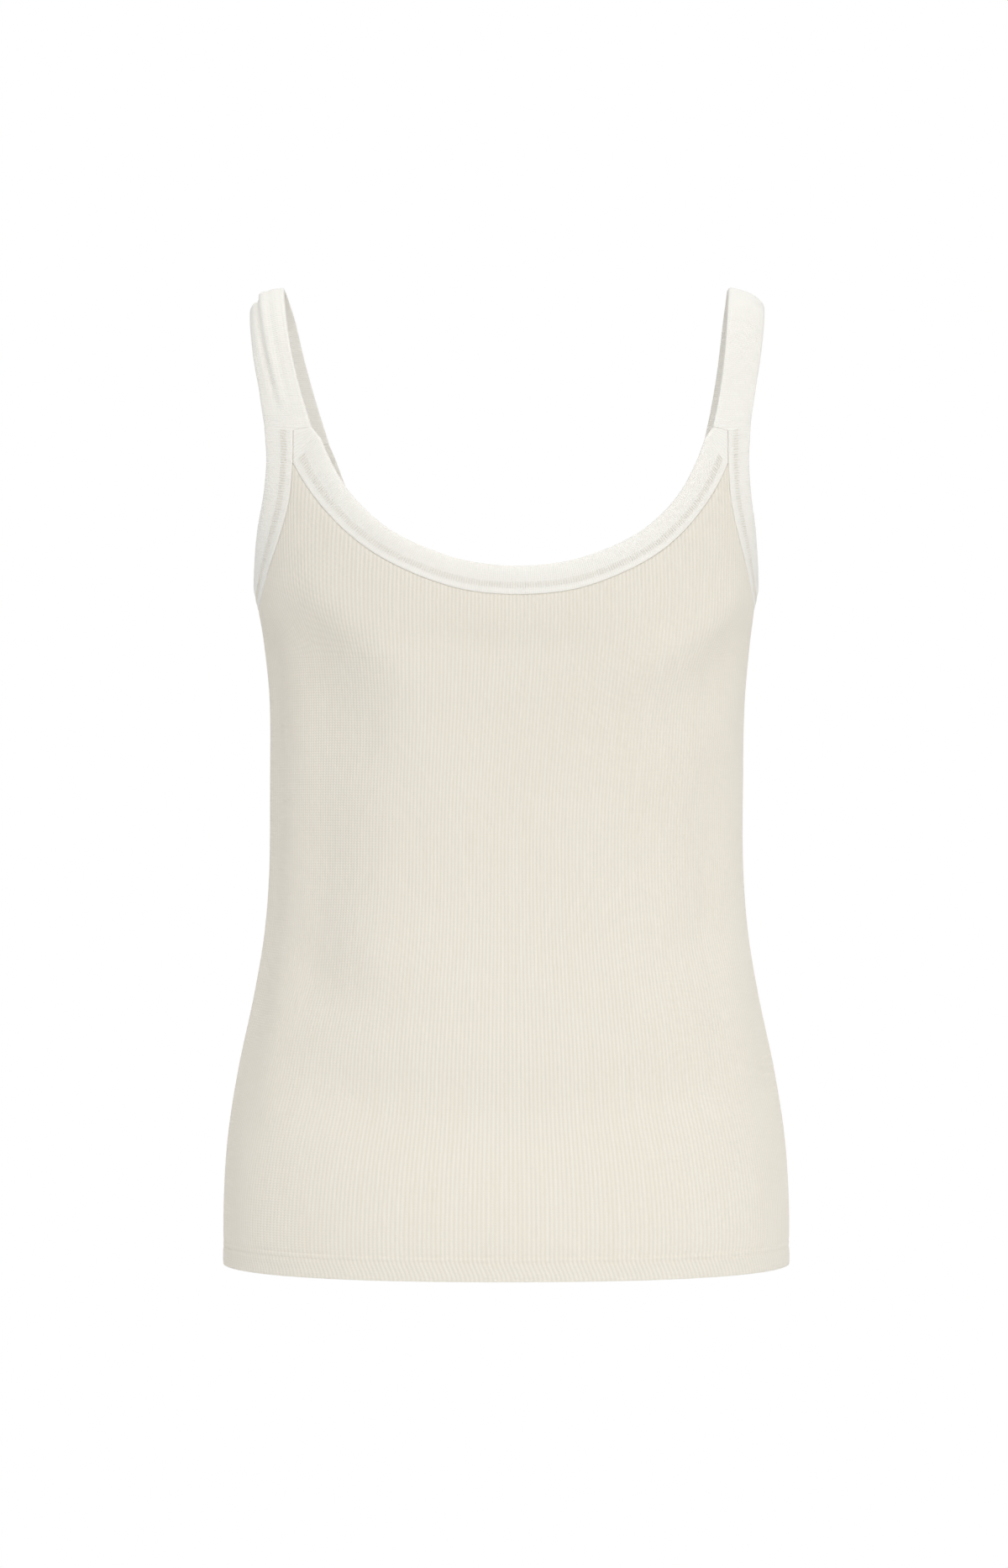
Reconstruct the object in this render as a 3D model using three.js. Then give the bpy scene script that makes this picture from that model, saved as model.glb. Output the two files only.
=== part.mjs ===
// A sleeveless tank top in fine rib knit, with bound neck and armholes, filled out as when it is worn.
// Units are millimetres. +Z is up, -Y is the back, +Y is the front and +X is the wearer's right.
// A "drop" is a distance straight down from the top of the straps.
// The origin is on the centre line, at the height where the shoulders carry the straps.

import * as THREE from "three";

const { clamp, lerp, smoothstep } = THREE.MathUtils;

// Cloth
const PANEL_WALL = 1.2; // one layer of rib knit
const BINDING_WALL = 2.4; // the knit folded round a cut edge
const SEAM_GAP = 0.3; // between two pieces that are sewn together
const INNER_CUT_BACK = 0.4; // a panel's curved edges slope back this far on the inside
const HEM_DROP = 588; // the garment's whole length
const HEM_TURN_UP = 12.5; // height of the hem's second layer
const HEM_STEP = 1.5; // height over which that layer ends
const HEM_EXTRA_WALL = 1.0;
const CLOTH_COLOUR = 0xe8e3d7;
const BINDING_COLOUR = 0xeae7dc;
const CLOTH_ROUGHNESS = 0.92;

// Raised ribs: each stands for three ribs of the knit
const RIB_HEIGHT = 0.5;
const RIBS_UNDER_NECK = 18; // from the centre line to the panel's shoulder point
const RIBS_UNDER_ARM = 10; // from there to the side seam
const COLUMNS_PER_RIB = 2;

// Rows of the panels, from the hem up
const BODY_ROW_DROPS = [555, 520, 480, 435, 385, 330, 272, 225];
const ROWS_ABOVE_BODY = 4; // between the last of them and the neck or armhole
const OUTLINE_STEPS = 72; // points along half a level, for measuring along the cloth

// The body that fills the garment: one row for each level
const LEVELS = [
  { drop: 40, halfWidth: 182, back: 56, front: 57, square: 2.6 },
  { drop: 66, halfWidth: 176, back: 66, front: 68, square: 2.6 },
  { drop: 90, halfWidth: 169, back: 75, front: 78, square: 2.6 },
  { drop: 112, halfWidth: 163, back: 80, front: 88, square: 2.6 },
  { drop: 140, halfWidth: 156.5, back: 86, front: 98, square: 2.6 },
  { drop: 167, halfWidth: 152, back: 90, front: 106, square: 2.6 },
  { drop: 195, halfWidth: 148.4, back: 92, front: 110, square: 2.6 },
  { drop: 215, halfWidth: 145.8, back: 91.5, front: 110, square: 2.55 },
  { drop: 250, halfWidth: 142.6, back: 88, front: 105, square: 2.5 },
  { drop: 300, halfWidth: 142, back: 81, front: 96, square: 2.4 },
  { drop: 350, halfWidth: 142.2, back: 79, front: 92, square: 2.35 },
  { drop: 390, halfWidth: 145.2, back: 84, front: 93, square: 2.3 },
  { drop: 430, halfWidth: 152, back: 94, front: 96, square: 2.3 },
  { drop: 470, halfWidth: 160.5, back: 105, front: 99, square: 2.3 },
  { drop: 510, halfWidth: 166.8, back: 113.5, front: 101, square: 2.3 },
  { drop: 545, halfWidth: 169.2, back: 118, front: 101, square: 2.3 },
  { drop: 588, halfWidth: 169.6, back: 117, front: 100, square: 2.3 },
];

// The neck binding's lower edge (seam) and free edge, from the centre line out to the shoulder point
const NECK_ROWS = {
  back: [
    { seamX: 0, seamDrop: 189, edgeX: 0, edgeDrop: 172 },
    { seamX: 30, seamDrop: 186.5, edgeX: 27, edgeDrop: 169.5 },
    { seamX: 56, seamDrop: 178.5, edgeX: 49, edgeDrop: 163 },
    { seamX: 80, seamDrop: 166.5, edgeX: 70, edgeDrop: 153 },
    { seamX: 98, seamDrop: 152.5, edgeX: 86, edgeDrop: 140.5 },
    { seamX: 112, seamDrop: 137, edgeX: 98.5, edgeDrop: 126 },
    { seamX: 122, seamDrop: 122.5, edgeX: 107.5, edgeDrop: 110 },
    { seamX: 128.5, seamDrop: 110, edgeX: 113.5, edgeDrop: 95.5 },
  ],
  front: [
    { seamX: 0, seamDrop: 211, edgeX: 0, edgeDrop: 194 },
    { seamX: 30, seamDrop: 207.5, edgeX: 27, edgeDrop: 190.5 },
    { seamX: 56, seamDrop: 198, edgeX: 49, edgeDrop: 182.5 },
    { seamX: 80, seamDrop: 183, edgeX: 69, edgeDrop: 170 },
    { seamX: 97, seamDrop: 166.5, edgeX: 84, edgeDrop: 154.5 },
    { seamX: 110, seamDrop: 148, edgeX: 96, edgeDrop: 137 },
    { seamX: 120, seamDrop: 129.5, edgeX: 105.5, edgeDrop: 118 },
    { seamX: 127, seamDrop: 113, edgeX: 112, edgeDrop: 99.5 },
  ],
};

// The armhole band's free edge, once round from the crest of the shoulder, down the back and up the front
const BAND_EDGE_ROWS = [
  { at: "crest", x: 155.5, y: 0, drop: 12 },
  { at: "strap", x: 155.2, y: -16, drop: 15 },
  { at: "strap", x: 154.2, y: -29.5, drop: 26 },
  { at: "strap", x: 151.6, y: -39, drop: 46 },
  { at: "strap", x: 148, y: -45.5, drop: 66 },
  { at: "back step", x: 144.4, y: -49.5, drop: 87 },
  { at: "back", x: 143.2, y: -50, drop: 108 },
  { at: "back", x: 144.8, y: -47, drop: 128 },
  { at: "back", x: 148, y: -39, drop: 147 },
  { at: "back", x: 150.6, y: -27, drop: 164 },
  { at: "back", x: 152.1, y: -14, drop: 174.5 },
  { at: "underarm", x: 152.6, y: 0, drop: 178 },
  { at: "front", x: 152.1, y: 15, drop: 174.5 },
  { at: "front", x: 150.2, y: 29, drop: 164 },
  { at: "front", x: 147, y: 42, drop: 147 },
  { at: "front", x: 143.4, y: 51, drop: 128 },
  { at: "front", x: 141.6, y: 54.5, drop: 108 },
  { at: "front step", x: 143, y: 53, drop: 87 },
  { at: "strap", x: 147, y: 47.5, drop: 66 },
  { at: "strap", x: 151, y: 40, drop: 46 },
  { at: "strap", x: 154, y: 29.5, drop: 26 },
  { at: "strap", x: 155.2, y: 16, drop: 15 },
];

// The band's other edge over the shoulder, where it is the whole strap and free on both sides
const STRAP_INNER_ROWS = [
  { at: "front step", x: 116, y: 63.5, drop: 89.5 },
  { at: "strap", x: 122, y: 57, drop: 66 },
  { at: "strap", x: 127, y: 47.5, drop: 42 },
  { at: "strap", x: 131, y: 35, drop: 17.5 },
  { at: "strap", x: 133.5, y: 18, drop: 4.5 },
  { at: "crest", x: 134, y: 0, drop: 1.2 },
  { at: "strap", x: 133.5, y: -18, drop: 4.5 },
  { at: "strap", x: 132, y: -35, drop: 17.5 },
  { at: "strap", x: 129, y: -46.5, drop: 42 },
  { at: "strap", x: 124.5, y: -54.5, drop: 66 },
  { at: "back step", x: 118.8, y: -60.5, drop: 88.5 },
];

// The band's other edge round the armhole, where it is sewn to the panels
const BAND_SEAM_ROWS = [
  { at: "back step", x: 128.4, y: -57.5, drop: 90.5 },
  { at: "back point", x: 128.6, y: -59, drop: 110 },
  { at: "back", x: 130.2, y: -58.6, drop: 131 },
  { at: "back", x: 135, y: -54, drop: 150.5 },
  { at: "back", x: 140.8, y: -45, drop: 168.5 },
  { at: "back", x: 146, y: -27, drop: 186.5 },
  { at: "underarm", x: 148.8, y: 0, drop: 195 },
  { at: "front", x: 145.8, y: 29, drop: 187 },
  { at: "front", x: 140, y: 49, drop: 169.5 },
  { at: "front", x: 133.6, y: 60, drop: 151 },
  { at: "front", x: 128.8, y: 65, drop: 131 },
  { at: "front point", x: 127.1, y: 65, drop: 113 },
  { at: "front step", x: 127, y: 61.5, drop: 91.5 },
];
const UNDERARM_ROW = 6; // place of the underarm among these rows
const BACK_STEP_ROW = 5; // places of the two steps among the rows of the free edge
const FRONT_STEP_ROW = 17;

// Stations along the bands, and the binding's section from the free edge to the seam
const STATIONS_OVER_STRAP = 28;
const STATIONS_ROUND_ARM = 40;
const STATIONS_HALF_NECK = 20;
const STATIONS_NECK_END = 3;
const STEP_LENGTH = 1.2; // length of free edge over which the band widens at a step
const BINDING_SECTION = [
  { across: 0, thickness: 0.5 },
  { across: 0.12, thickness: 1 },
  { across: 0.35, thickness: 1 },
  { across: 0.6, thickness: 1 },
  { across: 0.88, thickness: 1 },
  { across: 1, thickness: 0.8 },
];
const BINDING_ROUNDNESS = 0.7; // the middle of a binding stands out this far
const STRAP_ROUNDNESS = 3.4; // and this far where it bends over the shoulder
const STRAP_ROUND_UNTIL = 55; // drop where it is as flat as the rest of the binding

// The worn neckline has settled towards the wearer's right
const SETTLED_BY = 7; // at the middle of the neck
const SETTLED_HALF_WIDTH = 150; // nothing moves beyond this distance from the centre line
const SETTLED_FULLY_FROM = 95; // drops between which it has moved all the way
const SETTLED_FULLY_TO = 195;
const SETTLED_ENDS_AT = 340;

// The left strap is creased along its length: one row for each fold
const STRAP_FOLDS = [
  { name: "crease", acrossTop: 0.28, acrossFoot: 0.42, reach: 0.11, height: -1.6 },
  { name: "ridge", acrossTop: 0.55, acrossFoot: 0.7, reach: 0.13, height: 1.2 },
];
const FOLD_FADES_FROM = 70; // drop where the folds start to die out
const FOLD_FADES_TO = 100;

function place(x, y, drop) {
  return new THREE.Vector3(x, y, BINDING_WALL - drop);
}

// Cubic through the rows of a table, in which each row's slope comes from its two neighbours
function tableValue(rows, key, name, at) {
  const last = rows.length - 1;
  let i = 0;
  while (i < last - 1 && rows[i + 1][key] < at) {
    i += 1;
  }
  const slope = (row) => {
    const before = rows[Math.max(row - 1, 0)];
    const after = rows[Math.min(row + 1, last)];
    return (after[name] - before[name]) / (after[key] - before[key]);
  };
  const span = rows[i + 1][key] - rows[i][key];
  const t = clamp((at - rows[i][key]) / span, 0, 1);
  const startShare = (1 + 2 * t) * (1 - t) ** 2;
  const startSlope = t * (1 - t) ** 2 * span;
  const endSlope = t * t * (t - 1) * span;
  return (
    startShare * rows[i][name] +
    (1 - startShare) * rows[i + 1][name] +
    startSlope * slope(i) +
    endSlope * slope(i + 1)
  );
}

function levelAt(drop) {
  const value = (name) => tableValue(LEVELS, "drop", name, drop);
  return {
    halfWidth: value("halfWidth"),
    back: value("back"),
    front: value("front"),
    square: value("square"),
  };
}

// The body's surface at a level: |x / half width|^n + |y / depth|^n = 1
function pushToBody(x, y, drop, side) {
  const level = levelAt(drop);
  const across = Math.abs(x / level.halfWidth) ** level.square;
  const deep = Math.abs(y / level[side]) ** level.square;
  const reach = (across + deep) ** (1 / level.square);
  return place(x / reach, y / reach, drop);
}

function onBodyAbove(x, drop, side) {
  const level = levelAt(drop);
  const rest = 1 - Math.abs(x / level.halfWidth) ** level.square;
  const depth = level[side] * Math.max(rest, 0) ** (1 / level.square);
  return place(x, side === "back" ? -depth : depth, drop);
}

// Half of one level's outline from the centre line to the side, measured along the cloth
function halfOutline(drop, side) {
  const level = levelAt(drop);
  const depth = side === "back" ? -level.back : level.front;
  const points = [];
  const lengths = [0];
  for (let i = 0; i <= OUTLINE_STEPS; i += 1) {
    const angle = (i / OUTLINE_STEPS) * (Math.PI / 2);
    points.push(pushToBody(Math.sin(angle) * level.halfWidth, Math.cos(angle) * depth, drop, side));
    if (i > 0) {
      lengths.push(lengths[i - 1] + points[i].distanceTo(points[i - 1]));
    }
  }
  return { points, lengths, length: lengths[OUTLINE_STEPS] };
}

function alongOutline(outline, share) {
  const wanted = share * outline.length;
  let i = 0;
  while (i < outline.lengths.length - 2 && outline.lengths[i + 1] < wanted) {
    i += 1;
  }
  const t = (wanted - outline.lengths[i]) / (outline.lengths[i + 1] - outline.lengths[i]);
  return outline.points[i].clone().lerp(outline.points[i + 1], t);
}

function shareAtX(outline, x) {
  let i = 0;
  while (i < outline.points.length - 2 && outline.points[i + 1].x < x) {
    i += 1;
  }
  const t = (x - outline.points[i].x) / (outline.points[i + 1].x - outline.points[i].x);
  return lerp(outline.lengths[i], outline.lengths[i + 1], t) / outline.length;
}

// A seam: the line where a binding is sewn on, with the binding's free edge at the same parameter
function makeSeam(seamPoints, edgePoints) {
  const seamCurve = new THREE.CatmullRomCurve3(seamPoints, false, "catmullrom", 0.5);
  const edgeCurve = new THREE.CatmullRomCurve3(edgePoints, false, "catmullrom", 0.5);
  return {
    seamCurve,
    // The normal points away from the body, and across points from the free edge into the panel
    frame(t) {
      const seam = seamCurve.getPoint(t);
      const edge = edgeCurve.getPoint(t);
      const along = seamCurve.getTangent(t);
      const width = seam.clone().sub(edge);
      const normal = along.clone().cross(width).normalize();
      if (normal.x * seam.x + normal.y * seam.y < 0) {
        normal.negate();
      }
      const across = width.addScaledVector(along, -width.dot(along)).normalize();
      return { seam, edge, along, normal, across };
    },
  };
}

function findParameter(curve, matches) {
  let low = 0;
  let high = 1;
  for (let i = 0; i < 40; i += 1) {
    const middle = (low + high) / 2;
    if (matches(curve.getPoint(middle))) {
      high = middle;
    } else {
      low = middle;
    }
  }
  return (low + high) / 2;
}

function neckSeam(side) {
  const rows = NECK_ROWS[side];
  // The mirrored row keeps the curve level where it crosses the centre line
  const seamPoints = rows.map((row) => onBodyAbove(row.seamX, row.seamDrop, side));
  const edgePoints = rows.map((row) => onBodyAbove(row.edgeX, row.edgeDrop, side));
  const mirrored = (points) => {
    const left = points.slice(1).reverse();
    return left.map((point) => new THREE.Vector3(-point.x, point.y, point.z));
  };
  return makeSeam([...mirrored(seamPoints), ...seamPoints], [...mirrored(edgePoints), ...edgePoints]);
}

function armSeam() {
  const seamPoints = BAND_SEAM_ROWS.map((row) => place(row.x, row.y, row.drop));
  const edgeRows = BAND_EDGE_ROWS.slice(BACK_STEP_ROW, FRONT_STEP_ROW + 1);
  const edgePoints = edgeRows.map((row) => place(row.x, row.y, row.drop));
  return makeSeam(seamPoints, edgePoints);
}

const ARM_SEAM = armSeam();
const NECK_SEAMS = { back: neckSeam("back"), front: neckSeam("front") };
const POINT_PARAMETERS = {
  back: 1 / (BAND_SEAM_ROWS.length - 1),
  front: 1 - 1 / (BAND_SEAM_ROWS.length - 1),
};
const UNDERARM_PARAMETER = UNDERARM_ROW / (BAND_SEAM_ROWS.length - 1);

// The top of a panel's column: a share of 0 to 1 reaches the shoulder point, and 1 to 2 the underarm
function columnTop(side, share, footX) {
  if (share <= 1) {
    const neck = NECK_SEAMS[side];
    const t = findParameter(neck.seamCurve, (point) => point.x > footX);
    return neck.frame(t);
  }
  return ARM_SEAM.frame(lerp(POINT_PARAMETERS[side], UNDERARM_PARAMETER, share - 1));
}

// The shoulder point keeps half a gap to both of the seams that meet there
function mitreTop(top, armFrame) {
  const share = SEAM_GAP / 2 / (1 + top.across.dot(armFrame.across));
  top.across = top.across.clone().add(armFrame.across);
  top.point = armFrame.seam.clone().addScaledVector(top.across, share);
}

// The middle of a panel's cloth as rows of points, on the right half, from the hem up
function halfPanel(side) {
  const sign = side === "back" ? -1 : 1;
  const freeDrop = BODY_ROW_DROPS[BODY_ROW_DROPS.length - 1];
  const freeOutline = halfOutline(freeDrop, side);
  const pointX = NECK_ROWS[side][NECK_ROWS[side].length - 1].seamX;
  const pointShare = shareAtX(freeOutline, pointX);
  const edgeShare = 1 - SEAM_GAP / 2 / freeOutline.length;
  const neckColumns = RIBS_UNDER_NECK * COLUMNS_PER_RIB;
  const armColumns = RIBS_UNDER_ARM * COLUMNS_PER_RIB;
  const columns = [];
  for (let i = 0; i <= neckColumns + armColumns; i += 1) {
    const overArm = Math.max(i - neckColumns, 0) / armColumns;
    const share = i <= neckColumns ? (i / neckColumns) * pointShare : lerp(pointShare, edgeShare, overArm);
    const foot = alongOutline(freeOutline, share);
    const top = columnTop(side, i <= neckColumns ? i / neckColumns : 1 + overArm, foot.x);
    top.point = top.seam.clone().addScaledVector(top.across, SEAM_GAP / 2);
    if (i === neckColumns) {
      mitreTop(top, ARM_SEAM.frame(POINT_PARAMETERS[side]));
    }
    if (i === neckColumns + armColumns) {
      top.point.y = (sign * SEAM_GAP) / 2;
    }
    columns.push({ share, foot, top });
  }
  const rows = [];
  const drops = [HEM_DROP, HEM_DROP - HEM_TURN_UP, HEM_DROP - HEM_TURN_UP - HEM_STEP, ...BODY_ROW_DROPS];
  for (const drop of drops) {
    const outline = halfOutline(drop, side);
    rows.push(columns.map((column) => alongOutline(outline, column.share)));
  }
  for (let j = 1; j <= ROWS_ABOVE_BODY; j += 1) {
    const rise = j / ROWS_ABOVE_BODY;
    rows.push(columns.map((column) => riseColumn(column, rise, side)));
  }
  return { rows, columns };
}

// Between a column's foot and its top the cloth lies on the body, and it is eased onto the seam
function riseColumn(column, rise, side) {
  const top = column.top.point;
  const dropOf = (point) => BINDING_WALL - point.z;
  const drop = lerp(dropOf(column.foot), dropOf(top), rise);
  const lean = Math.sin((rise * Math.PI) / 2); // it leans low down, and runs straight up to the seam
  const x = lerp(column.foot.x, top.x, lean);
  const y = lerp(column.foot.y, top.y, lean);
  const onBody = pushToBody(x, y, drop, side);
  const topOnBody = pushToBody(top.x, top.y, dropOf(top), side);
  return onBody.addScaledVector(top.clone().sub(topOnBody), rise * rise);
}

// How far a point of the finished garment has settled sideways
function settledBy(point) {
  const drop = BINDING_WALL - point.z;
  const inward = 1 - clamp(Math.abs(point.x) / SETTLED_HALF_WIDTH, 0, 1) ** 3;
  const below = smoothstep(drop, 0, SETTLED_FULLY_FROM);
  const above = 1 - smoothstep(drop, SETTLED_FULLY_TO, SETTLED_ENDS_AT);
  return SETTLED_BY * inward * below * above;
}

function mirrorPoint(point) {
  return new THREE.Vector3(-point.x, point.y, point.z);
}

// The whole panel: its right half and the mirror image of it
function panelGrid(side) {
  const half = halfPanel(side);
  const rows = half.rows.map((row) => [...row.slice(1).reverse().map(mirrorPoint), ...row]);
  const bothHalves = (vectors) => [...vectors.slice(1).reverse().map(mirrorPoint), ...vectors];
  return {
    rows,
    topNormals: bothHalves(half.columns.map((column) => column.top.normal)),
    topAcross: bothHalves(half.columns.map((column) => column.top.across)),
  };
}

function gridNormals(rows, topNormals, side) {
  const normals = rows.map((row, j) =>
    row.map((point, i) => {
      const across = row[Math.min(i + 1, row.length - 1)].clone().sub(row[Math.max(i - 1, 0)]);
      const above = rows[Math.min(j + 1, rows.length - 1)][i];
      const below = rows[Math.max(j - 1, 0)][i];
      const normal = across.cross(above.clone().sub(below)).normalize();
      return side === "back" ? normal : normal.negate();
    }),
  );
  normals[normals.length - 1] = topNormals;
  return normals;
}

// Collects vertices and triangles of one closed solid
class Solid {
  constructor() {
    this.vertices = [];
    this.triangles = [];
  }

  addPoints(points) {
    const first = this.vertices.length;
    this.vertices.push(...points);
    return points.map((_, i) => first + i);
  }

  quad(a, b, c, d) {
    this.triangles.push([a, b, c], [a, c, d]);
  }

  // One layer of a panel: the cells of the two halves are split along mirrored diagonals
  sheet(rows) {
    const cells = rows[0].length - 1;
    for (let j = 0; j < rows.length - 1; j += 1) {
      for (let i = 0; i < cells; i += 1) {
        const corners = [rows[j][i], rows[j][i + 1], rows[j + 1][i + 1], rows[j + 1][i]];
        this.quad(...(i < cells / 2 ? [...corners.slice(1), corners[0]] : corners));
      }
    }
  }

  // Sews a fine line of points to a coarser one with the same ends
  zip(fine, coarse) {
    const step = (fine.length - 1) / (coarse.length - 1);
    for (let j = 0; j < coarse.length - 1; j += 1) {
      const middle = Math.floor(j * step + step / 2);
      for (let i = j * step; i < (j + 1) * step; i += 1) {
        this.triangles.push([i < middle ? coarse[j] : coarse[j + 1], fine[i], fine[i + 1]]);
      }
      this.triangles.push([coarse[j], fine[middle], coarse[j + 1]]);
    }
  }

  volume() {
    let sum = 0;
    for (const [a, b, c] of this.triangles) {
      sum += this.vertices[a].dot(this.vertices[b].clone().cross(this.vertices[c]));
    }
    return sum / 6;
  }

  mesh(name, colour) {
    const outward = this.volume() > 0;
    const index = this.triangles.flatMap(([a, b, c]) => (outward ? [a, b, c] : [a, c, b]));
    const positions = this.vertices.flatMap((vertex) => [vertex.x + settledBy(vertex), vertex.y, vertex.z]);
    const geometry = new THREE.BufferGeometry();
    geometry.setAttribute("position", new THREE.Float32BufferAttribute(positions, 3));
    geometry.setIndex(index);
    geometry.computeVertexNormals();
    const finish = { color: colour, roughness: CLOTH_ROUGHNESS, metalness: 0 };
    const mesh = new THREE.Mesh(geometry, new THREE.MeshStandardMaterial(finish));
    mesh.name = name;
    return mesh;
  }
}

// Front and back panels: ribs are raised in the outer points, and the inside is plain
function makePanel(side) {
  const { rows, topNormals, topAcross } = panelGrid(side);
  const top = rows.length - 1;
  const normals = gridNormals(rows, topNormals, side);
  const solid = new Solid();
  const isRib = (i) => i % COLUMNS_PER_RIB === 1;
  const outer = rows.map((row, j) => {
    const points = row.map((point, i) => {
      const edgeRow = j === 0 || j === top;
      const relief = isRib(i) && !edgeRow ? RIB_HEIGHT : 0;
      return point.clone().addScaledVector(normals[j][i], PANEL_WALL / 2 + relief);
    });
    return solid.addPoints(points);
  });
  const inner = rows.map((row, j) => {
    const wall = j < 2 ? PANEL_WALL / 2 + HEM_EXTRA_WALL : PANEL_WALL / 2;
    const cutBack = j === top ? INNER_CUT_BACK : 0;
    const points = row.map((point, i) =>
      point.clone().addScaledVector(normals[j][i], -wall).addScaledVector(topAcross[i], cutBack),
    );
    return solid.addPoints(points.filter((_, i) => i % COLUMNS_PER_RIB === 0));
  });
  solid.sheet(outer);
  solid.sheet(inner.map((row) => [...row].reverse()));
  for (let j = 0; j < top; j += 1) {
    const lastOuter = outer[j].length - 1;
    const lastInner = inner[j].length - 1;
    solid.quad(inner[j][0], outer[j][0], outer[j + 1][0], inner[j + 1][0]);
    solid.quad(outer[j][lastOuter], inner[j][lastInner], inner[j + 1][lastInner], outer[j + 1][lastOuter]);
  }
  solid.zip([...outer[0]].reverse(), [...inner[0]].reverse());
  solid.zip(outer[top], inner[top]);
  return solid.mesh(`${side}_panel`, CLOTH_COLOUR);
}

// A binding's section at one station, as a closed ring: outside from free edge to seam, inside back again
function bindingRing(edge, seam, normal, folds) {
  const outside = [];
  const inside = [];
  const crest = 1 - smoothstep(BINDING_WALL - edge.z, 0, STRAP_ROUND_UNTIL);
  const roundness = lerp(BINDING_ROUNDNESS, STRAP_ROUNDNESS, crest);
  for (const { across, thickness } of BINDING_SECTION) {
    const arch = roundness * (1 - (2 * across - 1) ** 2);
    const middle = edge.clone().lerp(seam, across).addScaledVector(normal, arch + folds(across));
    const half = (thickness * BINDING_WALL) / 2;
    outside.push(middle.clone().addScaledVector(normal, half));
    inside.push(middle.clone().addScaledVector(normal, -half));
  }
  return [...outside, ...inside.reverse()];
}

function loftRings(solid, rings, closed) {
  const indices = rings.map((ring) => solid.addPoints(ring));
  const size = rings[0].length;
  const spans = closed ? rings.length : rings.length - 1;
  for (let k = 0; k < spans; k += 1) {
    const here = indices[k];
    const next = indices[(k + 1) % rings.length];
    for (let i = 0; i < size; i += 1) {
      const j = (i + 1) % size;
      solid.quad(here[i], here[j], next[j], next[i]);
    }
  }
  if (!closed) {
    const first = indices[0];
    const last = indices[indices.length - 1];
    for (let i = 0; i < size / 2 - 1; i += 1) {
      solid.quad(first[i], first[size - 1 - i], first[size - 2 - i], first[i + 1]);
      solid.quad(last[i], last[i + 1], last[size - 2 - i], last[size - 1 - i]);
    }
  }
}

const noFolds = () => 0;

function strapFoldHeight(across, drop, y) {
  const fade = 1 - smoothstep(drop, FOLD_FADES_FROM, FOLD_FADES_TO);
  const backward = smoothstep(-y, -30, 5); // the folds run out over the crest, towards the front
  let height = 0;
  for (const fold of STRAP_FOLDS) {
    const centre = lerp(fold.acrossTop, fold.acrossFoot, clamp(drop / FOLD_FADES_TO, 0, 1));
    height += fold.height * Math.exp(-(((across - centre) / fold.reach) ** 2));
  }
  return height * fade * backward;
}

// One armhole band: binding round the armhole that widens into the strap over the shoulder
function makeArmholeBand(name, creased) {
  const edgePoints = BAND_EDGE_ROWS.map((row) => place(row.x, row.y, row.drop));
  const edgeCurve = new THREE.CatmullRomCurve3(edgePoints, true, "catmullrom", 0.5);
  const innerPoints = STRAP_INNER_ROWS.map((row) => place(row.x, row.y, row.drop));
  const innerCurve = new THREE.CatmullRomCurve3(innerPoints, false, "catmullrom", 0.5);
  const rowCount = BAND_EDGE_ROWS.length;
  const rings = [];
  const foldsAt = (point) => (across) =>
    creased ? strapFoldHeight(across, BINDING_WALL - point.z, point.y) : 0;

  // Over the shoulder, from the front step to the back step
  const strapStart = FRONT_STEP_ROW / rowCount;
  const strapEnd = 1 + BACK_STEP_ROW / rowCount;
  for (let k = 0; k <= STATIONS_OVER_STRAP; k += 1) {
    const t = k / STATIONS_OVER_STRAP;
    const edgeParameter = lerp(strapStart, strapEnd, t) % 1;
    const edge = edgeCurve.getPoint(edgeParameter);
    const inner = innerCurve.getPoint(t);
    const along = edgeCurve.getTangent(edgeParameter).add(innerCurve.getTangent(t)).normalize();
    const normal = inner.clone().sub(edge).cross(along).normalize();
    rings.push(bindingRing(edge, inner, normal, foldsAt(edge)));
  }

  // Round the armhole, from the back step to the front step
  for (let k = 0; k <= STATIONS_ROUND_ARM; k += 1) {
    const t = k / STATIONS_ROUND_ARM;
    const { seam, edge, along, normal, across } = ARM_SEAM.frame(t);
    if (k === 0) {
      edge.addScaledVector(along, STEP_LENGTH);
    }
    if (k === STATIONS_ROUND_ARM) {
      edge.addScaledVector(along, -STEP_LENGTH);
    }
    seam.addScaledVector(across, -SEAM_GAP / 2);
    rings.push(bindingRing(edge, seam, normal, foldsAt(edge)));
  }
  const mirrored = creased ? rings.map((ring) => ring.map(mirrorPoint)) : rings;
  const solid = new Solid();
  loftRings(solid, mirrored, true);
  return solid.mesh(name, BINDING_COLOUR);
}

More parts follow.
